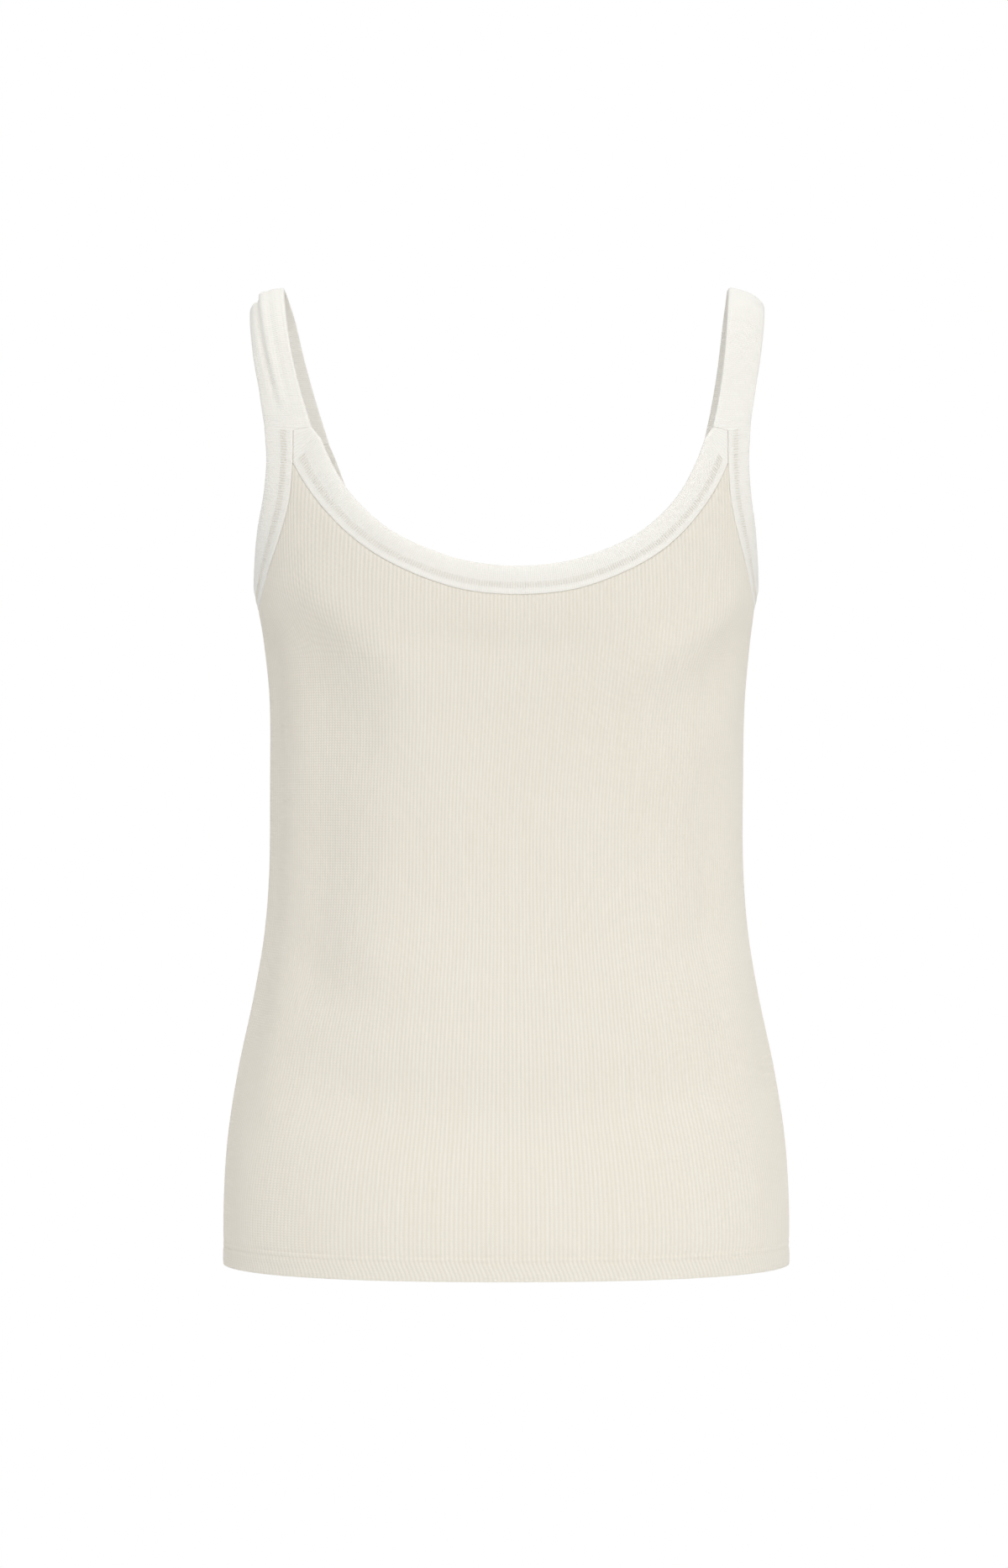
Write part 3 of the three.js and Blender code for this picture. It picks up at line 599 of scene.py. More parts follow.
# %% [markdown]
# ## Folds
# Stretched rib knit has no sharp creases: it lies in long soft troughs and swells, deepest where the
# body turns in. A cloth simulation would put such folds anywhere, so the ones that the photograph shows
# are listed one row each, and the front has similar ones. A fold is a ridge or trough along a
# bowed line on the cloth, and it fades out towards its ends. No two have the same length, width or
# height.

# %% Table of folds, in millimetres
FOLDS = {  # around, drop, turn in degrees, half length, half width, bow, height
    "back": np.array([
        (-84, 214, 43, 48, 14, 4, 2.4),
        (-108, 250, 48, 54, 26, 6, -3.4),
        (108, 208, -33, 50, 13, 4, 3.2),
        (116, 242, -36, 52, 21, 5, -4.6),
        (-2, 216, 2, 44, 15, 4, -2.8),
        (-4, 250, 3, 66, 24, 8, -1.8),
        (-40, 290, 62, 66, 26, 7, 1.3),
        (62, 306, 112, 68, 22, -6, 1.2),
        (-122, 356, 86, 88, 24, 8, -1.6),
        (134, 338, 98, 70, 18, -6, -1.8),
        (2, 352, 0, 112, 72, 0, 6.4),
        (-8, 468, 2, 134, 25, 24, -7.0),
        (-6, 480, 2, 150, 52, 16, -3.4),
        (8, 578, -2, 150, 50, 8, 4.2),
        (-56, 404, 24, 52, 14, 6, 1.4),
        (58, 412, -20, 48, 13, 5, 1.2),
        (-112, 414, 30, 46, 15, 6, -2.2),
        (112, 402, -27, 44, 14, -5, -1.8),
        (-156, 470, 66, 56, 16, 7, -2.0),
        (162, 462, 112, 58, 17, -6, -1.9),
        (-134, 532, 86, 48, 18, 6, 1.2),
        (126, 536, 97, 42, 16, -5, 1.1),
        (36, 552, 80, 30, 12, 3, -0.5),
    ]),
    "front": np.array([
        (-104, 226, 40, 48, 13, 5, 2.6),
        (-122, 258, 46, 54, 22, -6, -3.6),
        (106, 224, -42, 46, 13, 4, 2.4),
        (124, 264, -47, 56, 23, 7, -3.9),
        (4, 252, -3, 60, 20, 6, -2.2),
        (-46, 326, 96, 80, 25, -8, 1.5),
        (56, 342, 83, 86, 23, 9, -1.5),
        (-128, 350, 96, 74, 21, -7, -1.8),
        (138, 344, 82, 78, 19, 6, -1.7),
        (-62, 424, -16, 66, 17, 7, -2.5),
        (52, 438, 13, 68, 18, 8, -2.4),
        (-6, 492, 3, 116, 36, -9, 2.2),
        (140, 456, 70, 58, 17, 6, -2.0),
        (-148, 452, 112, 62, 16, -7, -1.9),
        (-98, 532, 92, 44, 18, 4, 1.2),
        (94, 538, 84, 40, 16, -4, 1.0),
    ]),
}
TURNS = {  # around, width, drop from, drop to, depth: beyond this line the body turns to the side sooner
    "back": np.array([(-66, 60, 200, 440, 5.6), (104, 36, 215, 330, 1.8)]),
    "front": np.array([(-92, 40, 220, 380, 2.6), (94, 40, 220, 390, 2.8)]),
}
TURN_BEGINS = 25  # a turn comes in this far either side of its top, and goes out so at its foot
TURN_ENDS = 30


def fold_height(side, around, drop):
    """Sum of height times exp(-(v / half width)^2 - (u / half length)^4), v off a line bowed along u."""
    total = np.zeros(np.broadcast(around, drop).shape)
    for middle, fold_drop, turn, half_length, half_width, bow, height in FOLDS[side]:
        angle = np.radians(turn)
        right, down = around - middle, drop - fold_drop
        u = right * np.cos(angle) + down * np.sin(angle)
        v = down * np.cos(angle) - right * np.sin(angle) - bow * (1 - (u / half_length) ** 2)
        total += height * bell(v, 0, half_width) * np.exp(-((u / half_length) ** 4))
    for line, width, top, foot, depth in TURNS[side]:
        beyond = smooth(around * np.sign(line), abs(line), abs(line) + width)
        begun = smooth(drop, top - TURN_BEGINS, top + TURN_BEGINS)
        total -= depth * beyond * begun * (1 - smooth(drop, foot - TURN_ENDS, foot + TURN_ENDS))
    return total


print("depth of the hollow above the seat:", fold_height("back", 0.0, 468.0).round(1), "mm")


# %% The mesh of a piece of cloth
def cells(grid):
    """The grid's values at the four corners of each cell, in turn."""
    return np.stack([grid[:-1, :-1], grid[:-1, 1:], grid[1:, 1:], grid[1:, :-1]], axis=2)


def closed_round(grid):
    """The grid with its first column once more at the end."""
    return np.concatenate([grid, grid[:, :1]], axis=1)


def cloth_object(name, points, faces, corner_uv, material, relief=None, flat=0):
    """A mesh object in metres from points in millimetres, with a UV per corner and flat last faces."""
    mesh = bpy.data.meshes.new(name)
    mesh.from_pydata(settle(points) * MM, [], faces)
    mesh.update()
    layer = mesh.uv_layers.new(name="knit")
    layer.data.foreach_set("uv", np.asarray(corner_uv, dtype=np.float32).ravel())
    mesh.polygons.foreach_set("use_smooth", np.arange(len(faces)) < len(faces) - flat)
    if relief is not None:
        attribute = mesh.attributes.new("rib", "FLOAT", "POINT")
        attribute.data.foreach_set("value", np.asarray(relief, dtype=np.float32))
    mesh.materials.append(material)
    piece = bpy.data.objects.new(name, mesh)
    bpy.context.scene.collection.objects.link(piece)
    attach(piece, "root")
    return piece


print("corners of one cell:", cells(np.arange(4).reshape(2, 2)).ravel())

# %% A panel's two faces, in millimetres
RIB_RELIEF = 0.2
RIB_MIDDLE = 0.22  # the raised ribs stand for the part of the cloth beyond the plain wall
RIB_AT_HEM = 0.2  # share of the ribs' relief that is left where the hem is folded
HEM_EXTRA_WALL = 1.0
HEM_EXTRA_FADE = (574.5, 576.0)  # drops between which the turned-up cloth ends inside
INNER_CUT_BACK = 0.4
PRESSED_AT_SEAM = (0.1, 0.35)  # the cloth is pressed thin in its last two rows
STITCH_DROPS = (577.0, 573.7)
HEM_PRESSED = 0.5  # depth of the line where a row of stitches draws the cloth in
GROOVE_REACH = 0.7
HEM_BAND = 0.25  # the doubled cloth below it stands out by this much
HEM_BAND_FADE = 4
FOLDS_BEGIN = (1, 30)  # below the top of a column
FOLDS_CALMED = 0.6  # share of the folds that the hem's stitches flatten, coming in between these drops
FOLDS_CALMED_AT = (562, 582)
SIDE_FADE = 22  # folds fade this close to a side seam


def panel_faces(side):
    """Outer and inner grids of a panel, and the relief and drop of its columns.

    Each is the middle grid moved outwards: by half the wall, the cosine of the rib and the folds, less a
    Gaussian groove along each row of stitches.
    """
    grid, outward, inset, around = panel_grid(side)
    drop = BINDING_WALL - grid[..., 2]
    last = len(grid) - 1
    free = smooth(drop - drop[-1], *FOLDS_BEGIN) * (1 - FOLDS_CALMED * smooth(drop, *FOLDS_CALMED_AT))
    edge = 1 - smooth(np.abs(around), around[-1] - SIDE_FADE, around[-1])
    fold = fold_height(side, around, drop) * free * edge
    row = np.arange(len(grid))[:, None]
    strength = np.where(row == 0, RIB_AT_HEM, np.where(row == last, 0.0, 1.0))
    phase = np.arange(grid.shape[1]) / COLUMNS_PER_RIB
    # the top row and both side columns get the furrow's value -1: the cloth dips there, and the furrow
    # colour paints a line of shade under the binding and along the side seams
    rib = np.cos(2 * np.pi * phase) * strength - (row == last)
    rib[:, [0, -1]] = -1.0
    beside, at_seam = PRESSED_AT_SEAM
    pressed = np.where(row == last, at_seam, np.where(row == last - 1, beside, 0.0))
    groove = sum(bell(drop, at, GROOVE_REACH) for at in STITCH_DROPS)
    turned_up = smooth(drop, STITCH_DROPS[0], STITCH_DROPS[0] + HEM_BAND_FADE)
    face = PANEL_WALL / 2 + RIB_MIDDLE + RIB_RELIEF * rib
    outer = face - HEM_PRESSED * groove + HEM_BAND * turned_up + fold
    outer -= pressed
    doubled = 1 - smooth(-drop, -HEM_EXTRA_FADE[1], -HEM_EXTRA_FADE[0])
    inner = -PANEL_WALL / 2 - HEM_EXTRA_WALL * doubled + fold + pressed / 3
    outer_points = grid + outward * outer[..., None]
    inner_points = grid + outward * inner[..., None]
    inner_points[-1] += inset * INNER_CUT_BACK
    return outer_points, inner_points[:, ::COLUMNS_PER_RIB], rib, drop


print("wall between ribs:", PANEL_WALL + RIB_MIDDLE - RIB_RELIEF, "mm")

# %% A panel's mesh
COURSE = 1.5  # height of a knitted loop, taller than the real 1 mm or so, so that it shows


def panel_mesh(side, name, material):
    """Outer cells, inner cells turned round, and rims; an inner end takes one face per rib."""
    outer, inner, rib, drop = panel_faces(side)
    per = COLUMNS_PER_RIB
    rows, columns = outer.shape[:2]
    inner_columns = inner.shape[1]
    offset = rows * columns
    outer_index = np.arange(offset).reshape(rows, columns)
    inner_index = offset + np.arange(rows * inner_columns).reshape(rows, inner_columns)
    faces = cells(outer_index).reshape(-1, 4).tolist()
    faces += cells(inner_index)[..., ::-1].reshape(-1, 4).tolist()
    for end in (0, -1):
        low, high = (inner_index[:-1, end], inner_index[1:, end])
        rim = np.stack([low, high, outer_index[1:, end], outer_index[:-1, end]], axis=-1)
        faces += rim[:, :: (-1 if end == 0 else 1)].tolist()
    for end in (0, -1):
        runs = np.stack([outer_index[end, k : columns - per + k : per] for k in range(per + 1)], axis=-1)
        rim = np.concatenate([runs, inner_index[end, 1:, None], inner_index[end, :-1, None]], axis=-1)
        faces += rim[:, :: (-1 if end == 0 else 1)].tolist()
    if side == "front":
        faces = [face[::-1] for face in faces]
    rib_count = np.arange(columns) / per
    length = np.cumsum(np.concatenate([[0], -np.diff(drop[:, columns // 2])])) / COURSE
    counts = (rib_count, rib_count[::per])
    uv = [np.stack(np.broadcast_arrays(n, length[:, None]), axis=-1).reshape(-1, 2) for n in counts]
    corner_uv = np.concatenate(uv)[np.concatenate([np.asarray(face) for face in faces])]
    points = np.concatenate([outer.reshape(-1, 3), inner.reshape(-1, 3)])
    relief = np.concatenate([rib.reshape(-1), np.full(rows * inner_columns, 0.0)])
    return cloth_object(name, points, faces, corner_uv, material, relief)


print("courses up the back:", round((HEM_DROP - NECK_ROWS["back"][0, 1]) / COURSE))

# %% [markdown]
# ## Rib knit
# The body is combed cotton in a fine 1 x 1 rib, undyed cream. It is matt and soft, with a slight sheen
# at grazing angles from loose fibre ends, and light comes through a single layer of it. The colour could
# be one flat cream, but the furrows between ribs hold shade, the ribs waver a little, and the loops
# show as rows of small V shapes. So painted shade darkens the colour towards each furrow, by the rib's
# height. Long streaks of painted shade along the ribs stand in for the shade of their waviness, which
# the ribs' straight columns do not have, and the bump draws a loop every 1.5 mm.

# %% Cotton
LIGHT_REACH = 0.002  # metres that light goes through the knit: it softens shade, and one layer glows
REACH_COLOUR = (1.0, 0.97, 0.92)  # red goes furthest, which warms the thin places
CLOUDS_PER_METRE = 16.0  # soft patches about 60 mm across: undyed cloth is not quite one shade
TANGLES_PER_METRE = 900.0  # specks of 1.1 mm, coarser than real tangles of fibre, so that they show
UNEVEN_SHADE = {"From Min": 0.45, "From Max": 0.9, "To Min": 0.0, "To Max": 0.22}
FULL_TURN = {"operation": "MULTIPLY", 1: 2 * np.pi}


def loop_bump(tree, uv, strength, distance):
    """Rows of V-shaped loops: the sine of 2 pi times (course + distance from the rib's crest)."""
    split = add_node(tree, "ShaderNodeSeparateXYZ", links={0: uv})
    fold_back = {"operation": "PINGPONG", 1: 0.5}
    to_crest = add_node(tree, "ShaderNodeMath", fold_back, {0: split.outputs["X"]})
    slanted = add_node(
        tree, "ShaderNodeMath", {"operation": "ADD"}, {0: split.outputs["Y"], 1: to_crest.outputs[0]}
    )
    turned = add_node(tree, "ShaderNodeMath", FULL_TURN, {0: slanted.outputs[0]})
    wave = add_node(tree, "ShaderNodeMath", {"operation": "SINE"}, {0: turned.outputs[0]})
    return add_node(
        tree, "ShaderNodeBump", {"Strength": strength, "Distance": distance}, {"Height": wave.outputs[0]}
    )


def cotton(name, roughness):
    """Soft matt cotton: the material, its tree, shader, coordinates and uneven shade."""
    material = bpy.data.materials.new(name)
    material.use_nodes = True
    tree = material.node_tree
    shader = tree.nodes["Principled BSDF"]
    shader.inputs["Roughness"].default_value = roughness
    shader.inputs["IOR"].default_value = 1.5
    shader.inputs["Specular IOR Level"].default_value = 0.25
    shader.inputs["Sheen Weight"].default_value = 0.1
    shader.inputs["Sheen Roughness"].default_value = 0.55
    shader.subsurface_method = "BURLEY"
    shader.inputs["Subsurface Weight"].default_value = 0.4
    shader.inputs["Subsurface Radius"].default_value = REACH_COLOUR
    shader.inputs["Subsurface Scale"].default_value = LIGHT_REACH
    coordinates = add_node(tree, "ShaderNodeTexCoord")
    on_piece = {"Vector": coordinates.outputs["Object"]}
    cloud = add_node(tree, "ShaderNodeTexNoise", {"Scale": CLOUDS_PER_METRE, "Detail": 3.0}, on_piece)
    fibre = add_node(tree, "ShaderNodeTexNoise", {"Scale": TANGLES_PER_METRE, "Detail": 2.0}, on_piece)
    both = add_node(
        tree,
        "ShaderNodeMath",
        {"operation": "MULTIPLY_ADD", 1: 0.35},
        {0: fibre.outputs[0], 2: cloud.outputs[0]},
    )
    shade = add_node(tree, "ShaderNodeMapRange", UNEVEN_SHADE, {"Value": both.outputs[0]})
    return material, tree, shader, coordinates, shade


def rib_colour_painted_shade(tree, height, shade, colours):
    """From the furrow's painted shade to the crest by the rib's height, then to the tint by the shade.
    """
    crest, furrow, tint = (linear(colour) for colour in colours)
    # painted shade: darker towards the furrow, lighter on the crest
    lit = add_node(tree, "ShaderNodeMix", {"data_type": "RGBA", 6: furrow, 7: crest}, {0: height})
    to_tint = {"data_type": "RGBA", 7: tint}
    tinted = add_node(tree, "ShaderNodeMix", to_tint, {0: shade, 6: lit.outputs[2]})
    return tinted.outputs[2]


print("light reaches", LIGHT_REACH / MM, "mm into the cloth")

# %% Cotton rib knit: raised ribs read as fine upright lines of cream and partly painted shade, without gloss
# the furrow colour is painted shade: the colour darkens towards each furrow, where shade falls
KNIT_COLOURS = ("#E0DBD1", "#D5CFC4", "#D7D1C3")  # crest, furrow and tint
KNIT_ROUGHNESS = 0.92
# streaks of painted shade along the ribs stand in for the shade of ribs that waver; the ribs are
# straight
STREAK_STRETCH = 0.025  # a streak is one or two ribs wide and about 50 courses long
STREAK_SHADE = {"From Min": 0.35, "From Max": 0.65, "To Min": 0.0, "To Max": 0.22}

rib_knit, tree, shader, coordinates, shade = cotton("cotton_rib_knit", KNIT_ROUGHNESS)
rib = add_node(tree, "ShaderNodeAttribute", {"attribute_name": "rib"})
height = add_node(
    tree,
    "ShaderNodeMapRange",
    {"From Min": -1.0, "From Max": 0.8, "To Min": 0.0, "To Max": 1.0},
    {"Value": rib.outputs["Fac"]},
)
along_rib = add_node(
    tree,
    "ShaderNodeMapping",
    {"Scale": (1.0, STREAK_STRETCH, 1.0)},
    {"Vector": coordinates.outputs["UV"]},
)
# painted shade: long streaks along the ribs, added to the cloth's random tone
streak_noise = {"Scale": 0.8, "Detail": 1.0}
uneven = add_node(tree, "ShaderNodeTexNoise", streak_noise, {"Vector": along_rib.outputs[0]})
painted_streak_shade = add_node(tree, "ShaderNodeMapRange", STREAK_SHADE, {"Value": uneven.outputs[0]})
both = {0: shade.outputs[0], 1: painted_streak_shade.outputs[0]}
tone_and_painted_streaks = add_node(tree, "ShaderNodeMath", {"operation": "ADD"}, both)
base = rib_colour_painted_shade(tree, height.outputs[0], tone_and_painted_streaks.outputs[0], KNIT_COLOURS)
tree.links.new(base, shader.inputs["Base Color"])
loops = loop_bump(tree, coordinates.outputs["UV"], 0.25, 0.0001)
tree.links.new(loops.outputs["Normal"], shader.inputs["Normal"])
print("material:", rib_knit.name, len(tree.nodes), "nodes")

# %% Make the panels
panels = {side: panel_mesh(side, f"{side}_rib_panel", rib_knit) for side in ("back", "front")}
for side, piece in panels.items():
    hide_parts(f"{side}_panel")
    print(piece.name, len(piece.data.polygons), "faces")

# %% [markdown]
# ## Bindings
# A strip of the same cotton, folded in three round each cut edge, binds the neck and the armholes. The
# strip is soft and full, so its free edge is rolled, and it is pressed down again where the stitches
# run. It could be a curve with a bevel, but its width changes along the way, so each binding is a loft:
# one closed section, set across the strip at many stations between the free edge and the seam.

# %% Cotton binding knit: tighter and paler, with faint ribs, so the eye takes it as smoother
WALE = 1.1  # spacing of the binding's fine ribs
# crest, furrow and tint: the furrow colour is painted shade in the faint ribs' furrows
BINDING_COLOURS = ("#EBE9E3", "#E1DED7", "#E1DDD2")
BINDING_ROUGHNESS = 0.9

binding_knit, tree, shader, coordinates, shade = cotton("cotton_binding_knit", BINDING_ROUGHNESS)
split = add_node(tree, "ShaderNodeSeparateXYZ", links={0: coordinates.outputs["UV"]})
wale = add_node(tree, "ShaderNodeMath", FULL_TURN, {0: split.outputs["X"]})
wave = add_node(tree, "ShaderNodeMath", {"operation": "COSINE"}, {0: wale.outputs[0]})
# painted shade: the colour darkens towards each furrow of the faint ribs, which are only a bump
height = add_node(
    tree,
    "ShaderNodeMapRange",
    {"From Min": -1.0, "From Max": 0.6, "To Min": 0.55, "To Max": 1.0},
    {"Value": wave.outputs[0]},
)
base = rib_colour_painted_shade(tree, height.outputs[0], shade.outputs[0], BINDING_COLOURS)
tree.links.new(base, shader.inputs["Base Color"])
loops = loop_bump(tree, coordinates.outputs["UV"], 0.2, 0.0001)
wales = add_node(
    tree,
    "ShaderNodeBump",
    {"Strength": 0.3, "Distance": 0.0002},
    {"Height": wave.outputs[0], "Normal": loops.outputs["Normal"]},
)
tree.links.new(wales.outputs["Normal"], shader.inputs["Normal"])
print("material:", binding_knit.name, len(tree.nodes), "nodes")

# %% The binding's outer face, in millimetres and shares of its width
BINDING_ARCH = 0.7
CREST_ARCH = 3.4  # the strap's arch over the shoulder
CREST_UNTIL = 55  # drop by which that arch has faded out
STEP_ARCH = {"back": 1.17, "front": 2.38}  # at the strap's feet: level with the seam
STEP_BLEND = 20  # y either side of the crest over which one goes over to the other
BAND_PART = 0.61  # the armhole band's share of the strap at a step; the rest is the neck binding's
LADDER = (0.55, 0.82)  # the stitched ladder lies between these shares, counted from the free edge
LADDER_SLOPE = 0.12
LADDER_PRESSED = 0.28
ROLL_HEIGHT, ROLL_AT, ROLL_REACH = 0.45, 0.24, 0.18
RELIEF_FROM = (70, 100)  # drops between which the roll and the ladder come in, below the strap


def step_arch(width_share, depth):
    """Arch of a part of the strap at a step: the whole arch times the square of the part's width."""
    front = smooth(depth[:, None], -STEP_BLEND, STEP_BLEND)
    return between(STEP_ARCH["back"], STEP_ARCH["front"], front) * width_share**2


def face_height(across, drop, full, at_step, folds=0.0):
    """Over the line from edge to seam: a parabolic arch with folds; a Gaussian roll less the ladder."""
    crest = 1 - smooth(drop, 0, CREST_UNTIL)
    beside = between(at_step, BINDING_ARCH, full)
    arch = between(beside, CREST_ARCH, crest) * (1 - (2 * across - 1) ** 2)
    roll = ROLL_HEIGHT * bell(across, ROLL_AT, ROLL_REACH)
    begun = smooth(across, LADDER[0] - LADDER_SLOPE, LADDER[0])
    pressed = -LADDER_PRESSED * begun * (1 - 0.5 * smooth(across, LADDER[1], 1))
    return arch + folds, (roll + pressed) * (full * smooth(drop, *RELIEF_FROM))


print("arch in the middle of the strap's crest:", CREST_ARCH, "mm")

# %% The binding's section
SECTION_POINTS = 22
EDGE_ROUNDING = 0.1  # shares of the width that are rounded, at the free edge and at the seam
SEAM_ROUNDING = 0.04
SEAM_ROUNDED = 0.6  # less than 1: at the seam the end stays partly square
THINNEST = 0.12


def section(edge, seam, out, full, width_share, folds=None):
    """Closed rings from free edge to seam and back, drawn together in a quarter ellipse at the ends."""
    across = (1 - np.cos(np.linspace(0, np.pi, SECTION_POINTS))) / 2
    drop = BINDING_WALL - edge[:, 2:3]
    from_edge = np.clip(1 - across / EDGE_ROUNDING, 0, 1)
    from_seam = np.clip(1 - (1 - across) / SEAM_ROUNDING, 0, 1)
    rounded = np.sqrt(np.clip(1 - from_edge**2, 0.0, 1))
    rounded *= np.sqrt(np.clip(1 - SEAM_ROUNDED * from_seam**2, 0, 1))
    half = BINDING_WALL / 2 * np.clip(rounded, THINNEST, 1)
    at_step = step_arch(width_share, edge[:, 1])
    creases = 0.0 if folds is None else folds(across, edge)
    lift, relief = face_height(across, drop, full[:, None], at_step, creases)
    middle = edge[:, None] + (seam - edge)[:, None] * across[:, None]
    outside = middle + out[:, None] * (lift + half + relief)[..., None]
    inside = middle + out[:, None] * (lift - half)[..., None]
    return np.concatenate([outside, inside[:, ::-1]], axis=1)


print("points round a section:", 2 * SECTION_POINTS)


# %% Lofts
def outward_object(name, points, faces, corner_uv, material, flat=0):
    """Turns all faces round if the volume, a sixth of the sum of a . (b x c), comes out negative."""
    fans = ((face, k) for face in faces for k in range(1, len(face) - 1))
    corners = np.array([[face[0], face[k], face[k + 1]] for face, k in fans])
    a, b, c = (points[corners[:, k]] for k in range(3))
    if np.sum(a * np.cross(b, c)) < 0:
        sizes = np.array([len(face) for face in faces])
        starts = np.concatenate([[0], np.cumsum(sizes)[:-1]])
        order = np.concatenate([start + np.arange(size)[::-1] for start, size in zip(starts, sizes)])
        corner_uv = corner_uv[order]
        faces = [face[::-1] for face in faces]
    return cloth_object(name, points, faces, corner_uv, material, flat=flat)


def loft(name, rings, material, closed, mirrored):
    """Joins rings into a closed surface; its UV map counts ribs along it and loops across it."""
    if mirrored:
        rings = rings[:, ::-1] * MIRROR
    count, size = rings.shape[:2]
    index = np.arange(count * size).reshape(count, size)
    wrapped = closed_round(index)
    if closed:
        wrapped = np.concatenate([wrapped, wrapped[:1]])
    steps = np.linalg.norm(np.diff(rings[:, 1], axis=0, append=rings[:1, 1]), axis=-1)
    along = np.concatenate([[0], np.cumsum(steps)]) / WALE
    if closed:
        along *= np.round(along[-1]) / along[-1]
    around = np.linalg.norm(np.diff(rings, axis=1, append=rings[:, :1]), axis=-1).mean(axis=0)
    around = np.concatenate([[0], np.cumsum(around)]) / COURSE
    uv = np.stack(np.broadcast_arrays(along[: len(wrapped), None], around), axis=-1)
    corner_uv = cells(uv).reshape(-1, 2)
    faces = cells(wrapped).reshape(-1, 4).tolist()
    if not closed:
        half = size // 2
        for end, ring in ((0, index[0]), (1, index[-1])):
            back = ring[::-1]
            cap = np.stack([ring[: half - 1], ring[1:half], back[1:half], back[: half - 1]], axis=-1)
            faces += cap[:, :: (1 if end else -1)].tolist()
            corner_uv = np.concatenate([corner_uv, np.zeros((cap.size, 2))])
    flat = 0 if closed else size - 2
    return outward_object(name, rings.reshape(-1, 3), faces, corner_uv, material, flat=flat)


print("binding ribs in 100 mm:", round(100 / WALE))

# %% Neck bindings
NECK_STATIONS = 170
NECK_END_STATIONS = 18
STEP_GAP = 0.1
FLAT_WITHIN = 2.0  # a binding lies flat where three pieces meet, and is full again 26 mm away
FULL_WITHIN = 26.0


def fullness(from_end):
    """0 at an end and 1 from 26 mm on."""
    return smooth(from_end, FLAT_WITHIN, FULL_WITHIN)


def from_nearer_end(run):
    """Distance to the nearer end of a path, from the distances along it."""
    return np.minimum(run, run[-1] - run)


def off_seam(seam, side_of_seam=-1):
    """Points half the gap off a seam: -1 on the binding's side, 1 on the other."""
    return seam["seam"] + seam["across"] * side_of_seam * SEAM_GAP / 2


def neck_binding(side):
    """Along the neckline, then between the armhole bands up to the step, mirrored to the other half."""
    main = NECK_SEAMS[side].at(np.linspace(0.5, 1, NECK_STATIONS))
    end = 0.0 if side == "back" else 1.0
    t = np.linspace(0, 1, NECK_END_STATIONS + 1)[1:]
    arm = ARM_SEAM.at(between(POINT_PARAMETERS[side], end, t))
    step = STRAP_INNER_ROWS[-1] if side == "back" else STRAP_INNER_ROWS[0]
    edge_end = between(main["edge"][-1], place(*step), t[:, None])
    seam_end = off_seam(arm, side_of_seam=1)
    down = arm["along"][-1] * STEP_GAP * (1 if side == "back" else -1)
    edge_end[-1] += down
    seam_end[-1] += down
    out_end = unit(between(main["out"][-1], arm["out"], t[:, None]))
    edge = np.concatenate([main["edge"], edge_end])
    half = section(
        edge,
        np.concatenate([off_seam(main), seam_end]),
        np.concatenate([main["out"], out_end]),
        fullness(distance_along(edge[::-1])[::-1]),
        1 - BAND_PART,
    )
    rings = np.concatenate([half[:0:-1] * MIRROR, half])
    return loft(f"{side}_neck_rolled_binding", rings, binding_knit, closed=False, mirrored=False)


bindings = {f"{side}_neck_binding": neck_binding(side) for side in ("back", "front")}
print("neck bindings:", [piece.name for piece in bindings.values()])

# %% [markdown]
# ## Straps
# Over each shoulder the armhole's band widens into the strap, so band and strap are one closed loop of
# strip. The left strap is creased along its length and its outer third is turned down, and the right one
# is even, with one shallow hollow. The creases could be a bump, but they are a millimetre or two deep
# and show at the edge, so they are added to the section's height as Gaussians across the strap.

# %% Creases of the straps
STRAP_FOLDS = np.array([  # across at the top, across at the foot, reach, height
    (0.26, 0.42, 0.065, -2.3),
    (0.4, 0.56, 0.1, 1.1),
    (0.0, 0.0, 0.32, -2.6),
    (0.62, 0.7, 0.05, -0.5),
    (0.9, 0.92, 0.05, -0.4),
])
STRAP_FOLD_FOOT = 100  # drop of the foot that the table's second column gives
CREASES_UNTIL = (58, 84)  # drops between which the creases fade out
CREASES_FROM = (-30, 5)  # and -y between which they fade in, from the front
HOLLOW_DEPTH, HOLLOW_AT, HOLLOW_REACH = 0.4, 0.6, 0.2
HOLLOW_UNTIL = (55, 84)


def strap_folds(across, edge):
    """Creases along the left strap, Gaussians across it, faded out by a drop of 84 and to the front."""
    drop = BINDING_WALL - edge[:, 2:3]
    fade = (1 - smooth(drop, *CREASES_UNTIL)) * smooth(-edge[:, 1:2], *CREASES_FROM)
    total = np.zeros((len(edge), len(across)))
    for top, foot, reach, fold in STRAP_FOLDS:
        centre = between(top, foot, np.clip(drop / STRAP_FOLD_FOOT, 0, 1))
        total += fold * bell(across, centre, reach)
    return total * fade


def smooth_strap(across, edge):
    """The right strap is even: one shallow hollow along its middle, 0.4 mm deep."""
    drop = BINDING_WALL - edge[:, 2:3]
    return -HOLLOW_DEPTH * bell(across, HOLLOW_AT, HOLLOW_REACH) * (1 - smooth(drop, *HOLLOW_UNTIL))


print("creases on the left strap:", len(STRAP_FOLDS))

# %% Armhole bands
STRAP_STATIONS = 150
ARM_STATIONS = 220
STEP_SHARE = 0.0048  # the free edge runs ahead by this share at a step: the strap's end faces down
STEP_SHARE_REACH = 0.03
CRISP = 0.0008  # one more station this close to each end keeps the end's edge crisp


def crisp_stations(count):
    """Even stations from 0 to 1, with one more just inside each end."""
    return np.concatenate([[0, CRISP], np.linspace(0, 1, count)[1:-1], [1 - CRISP, 1]])


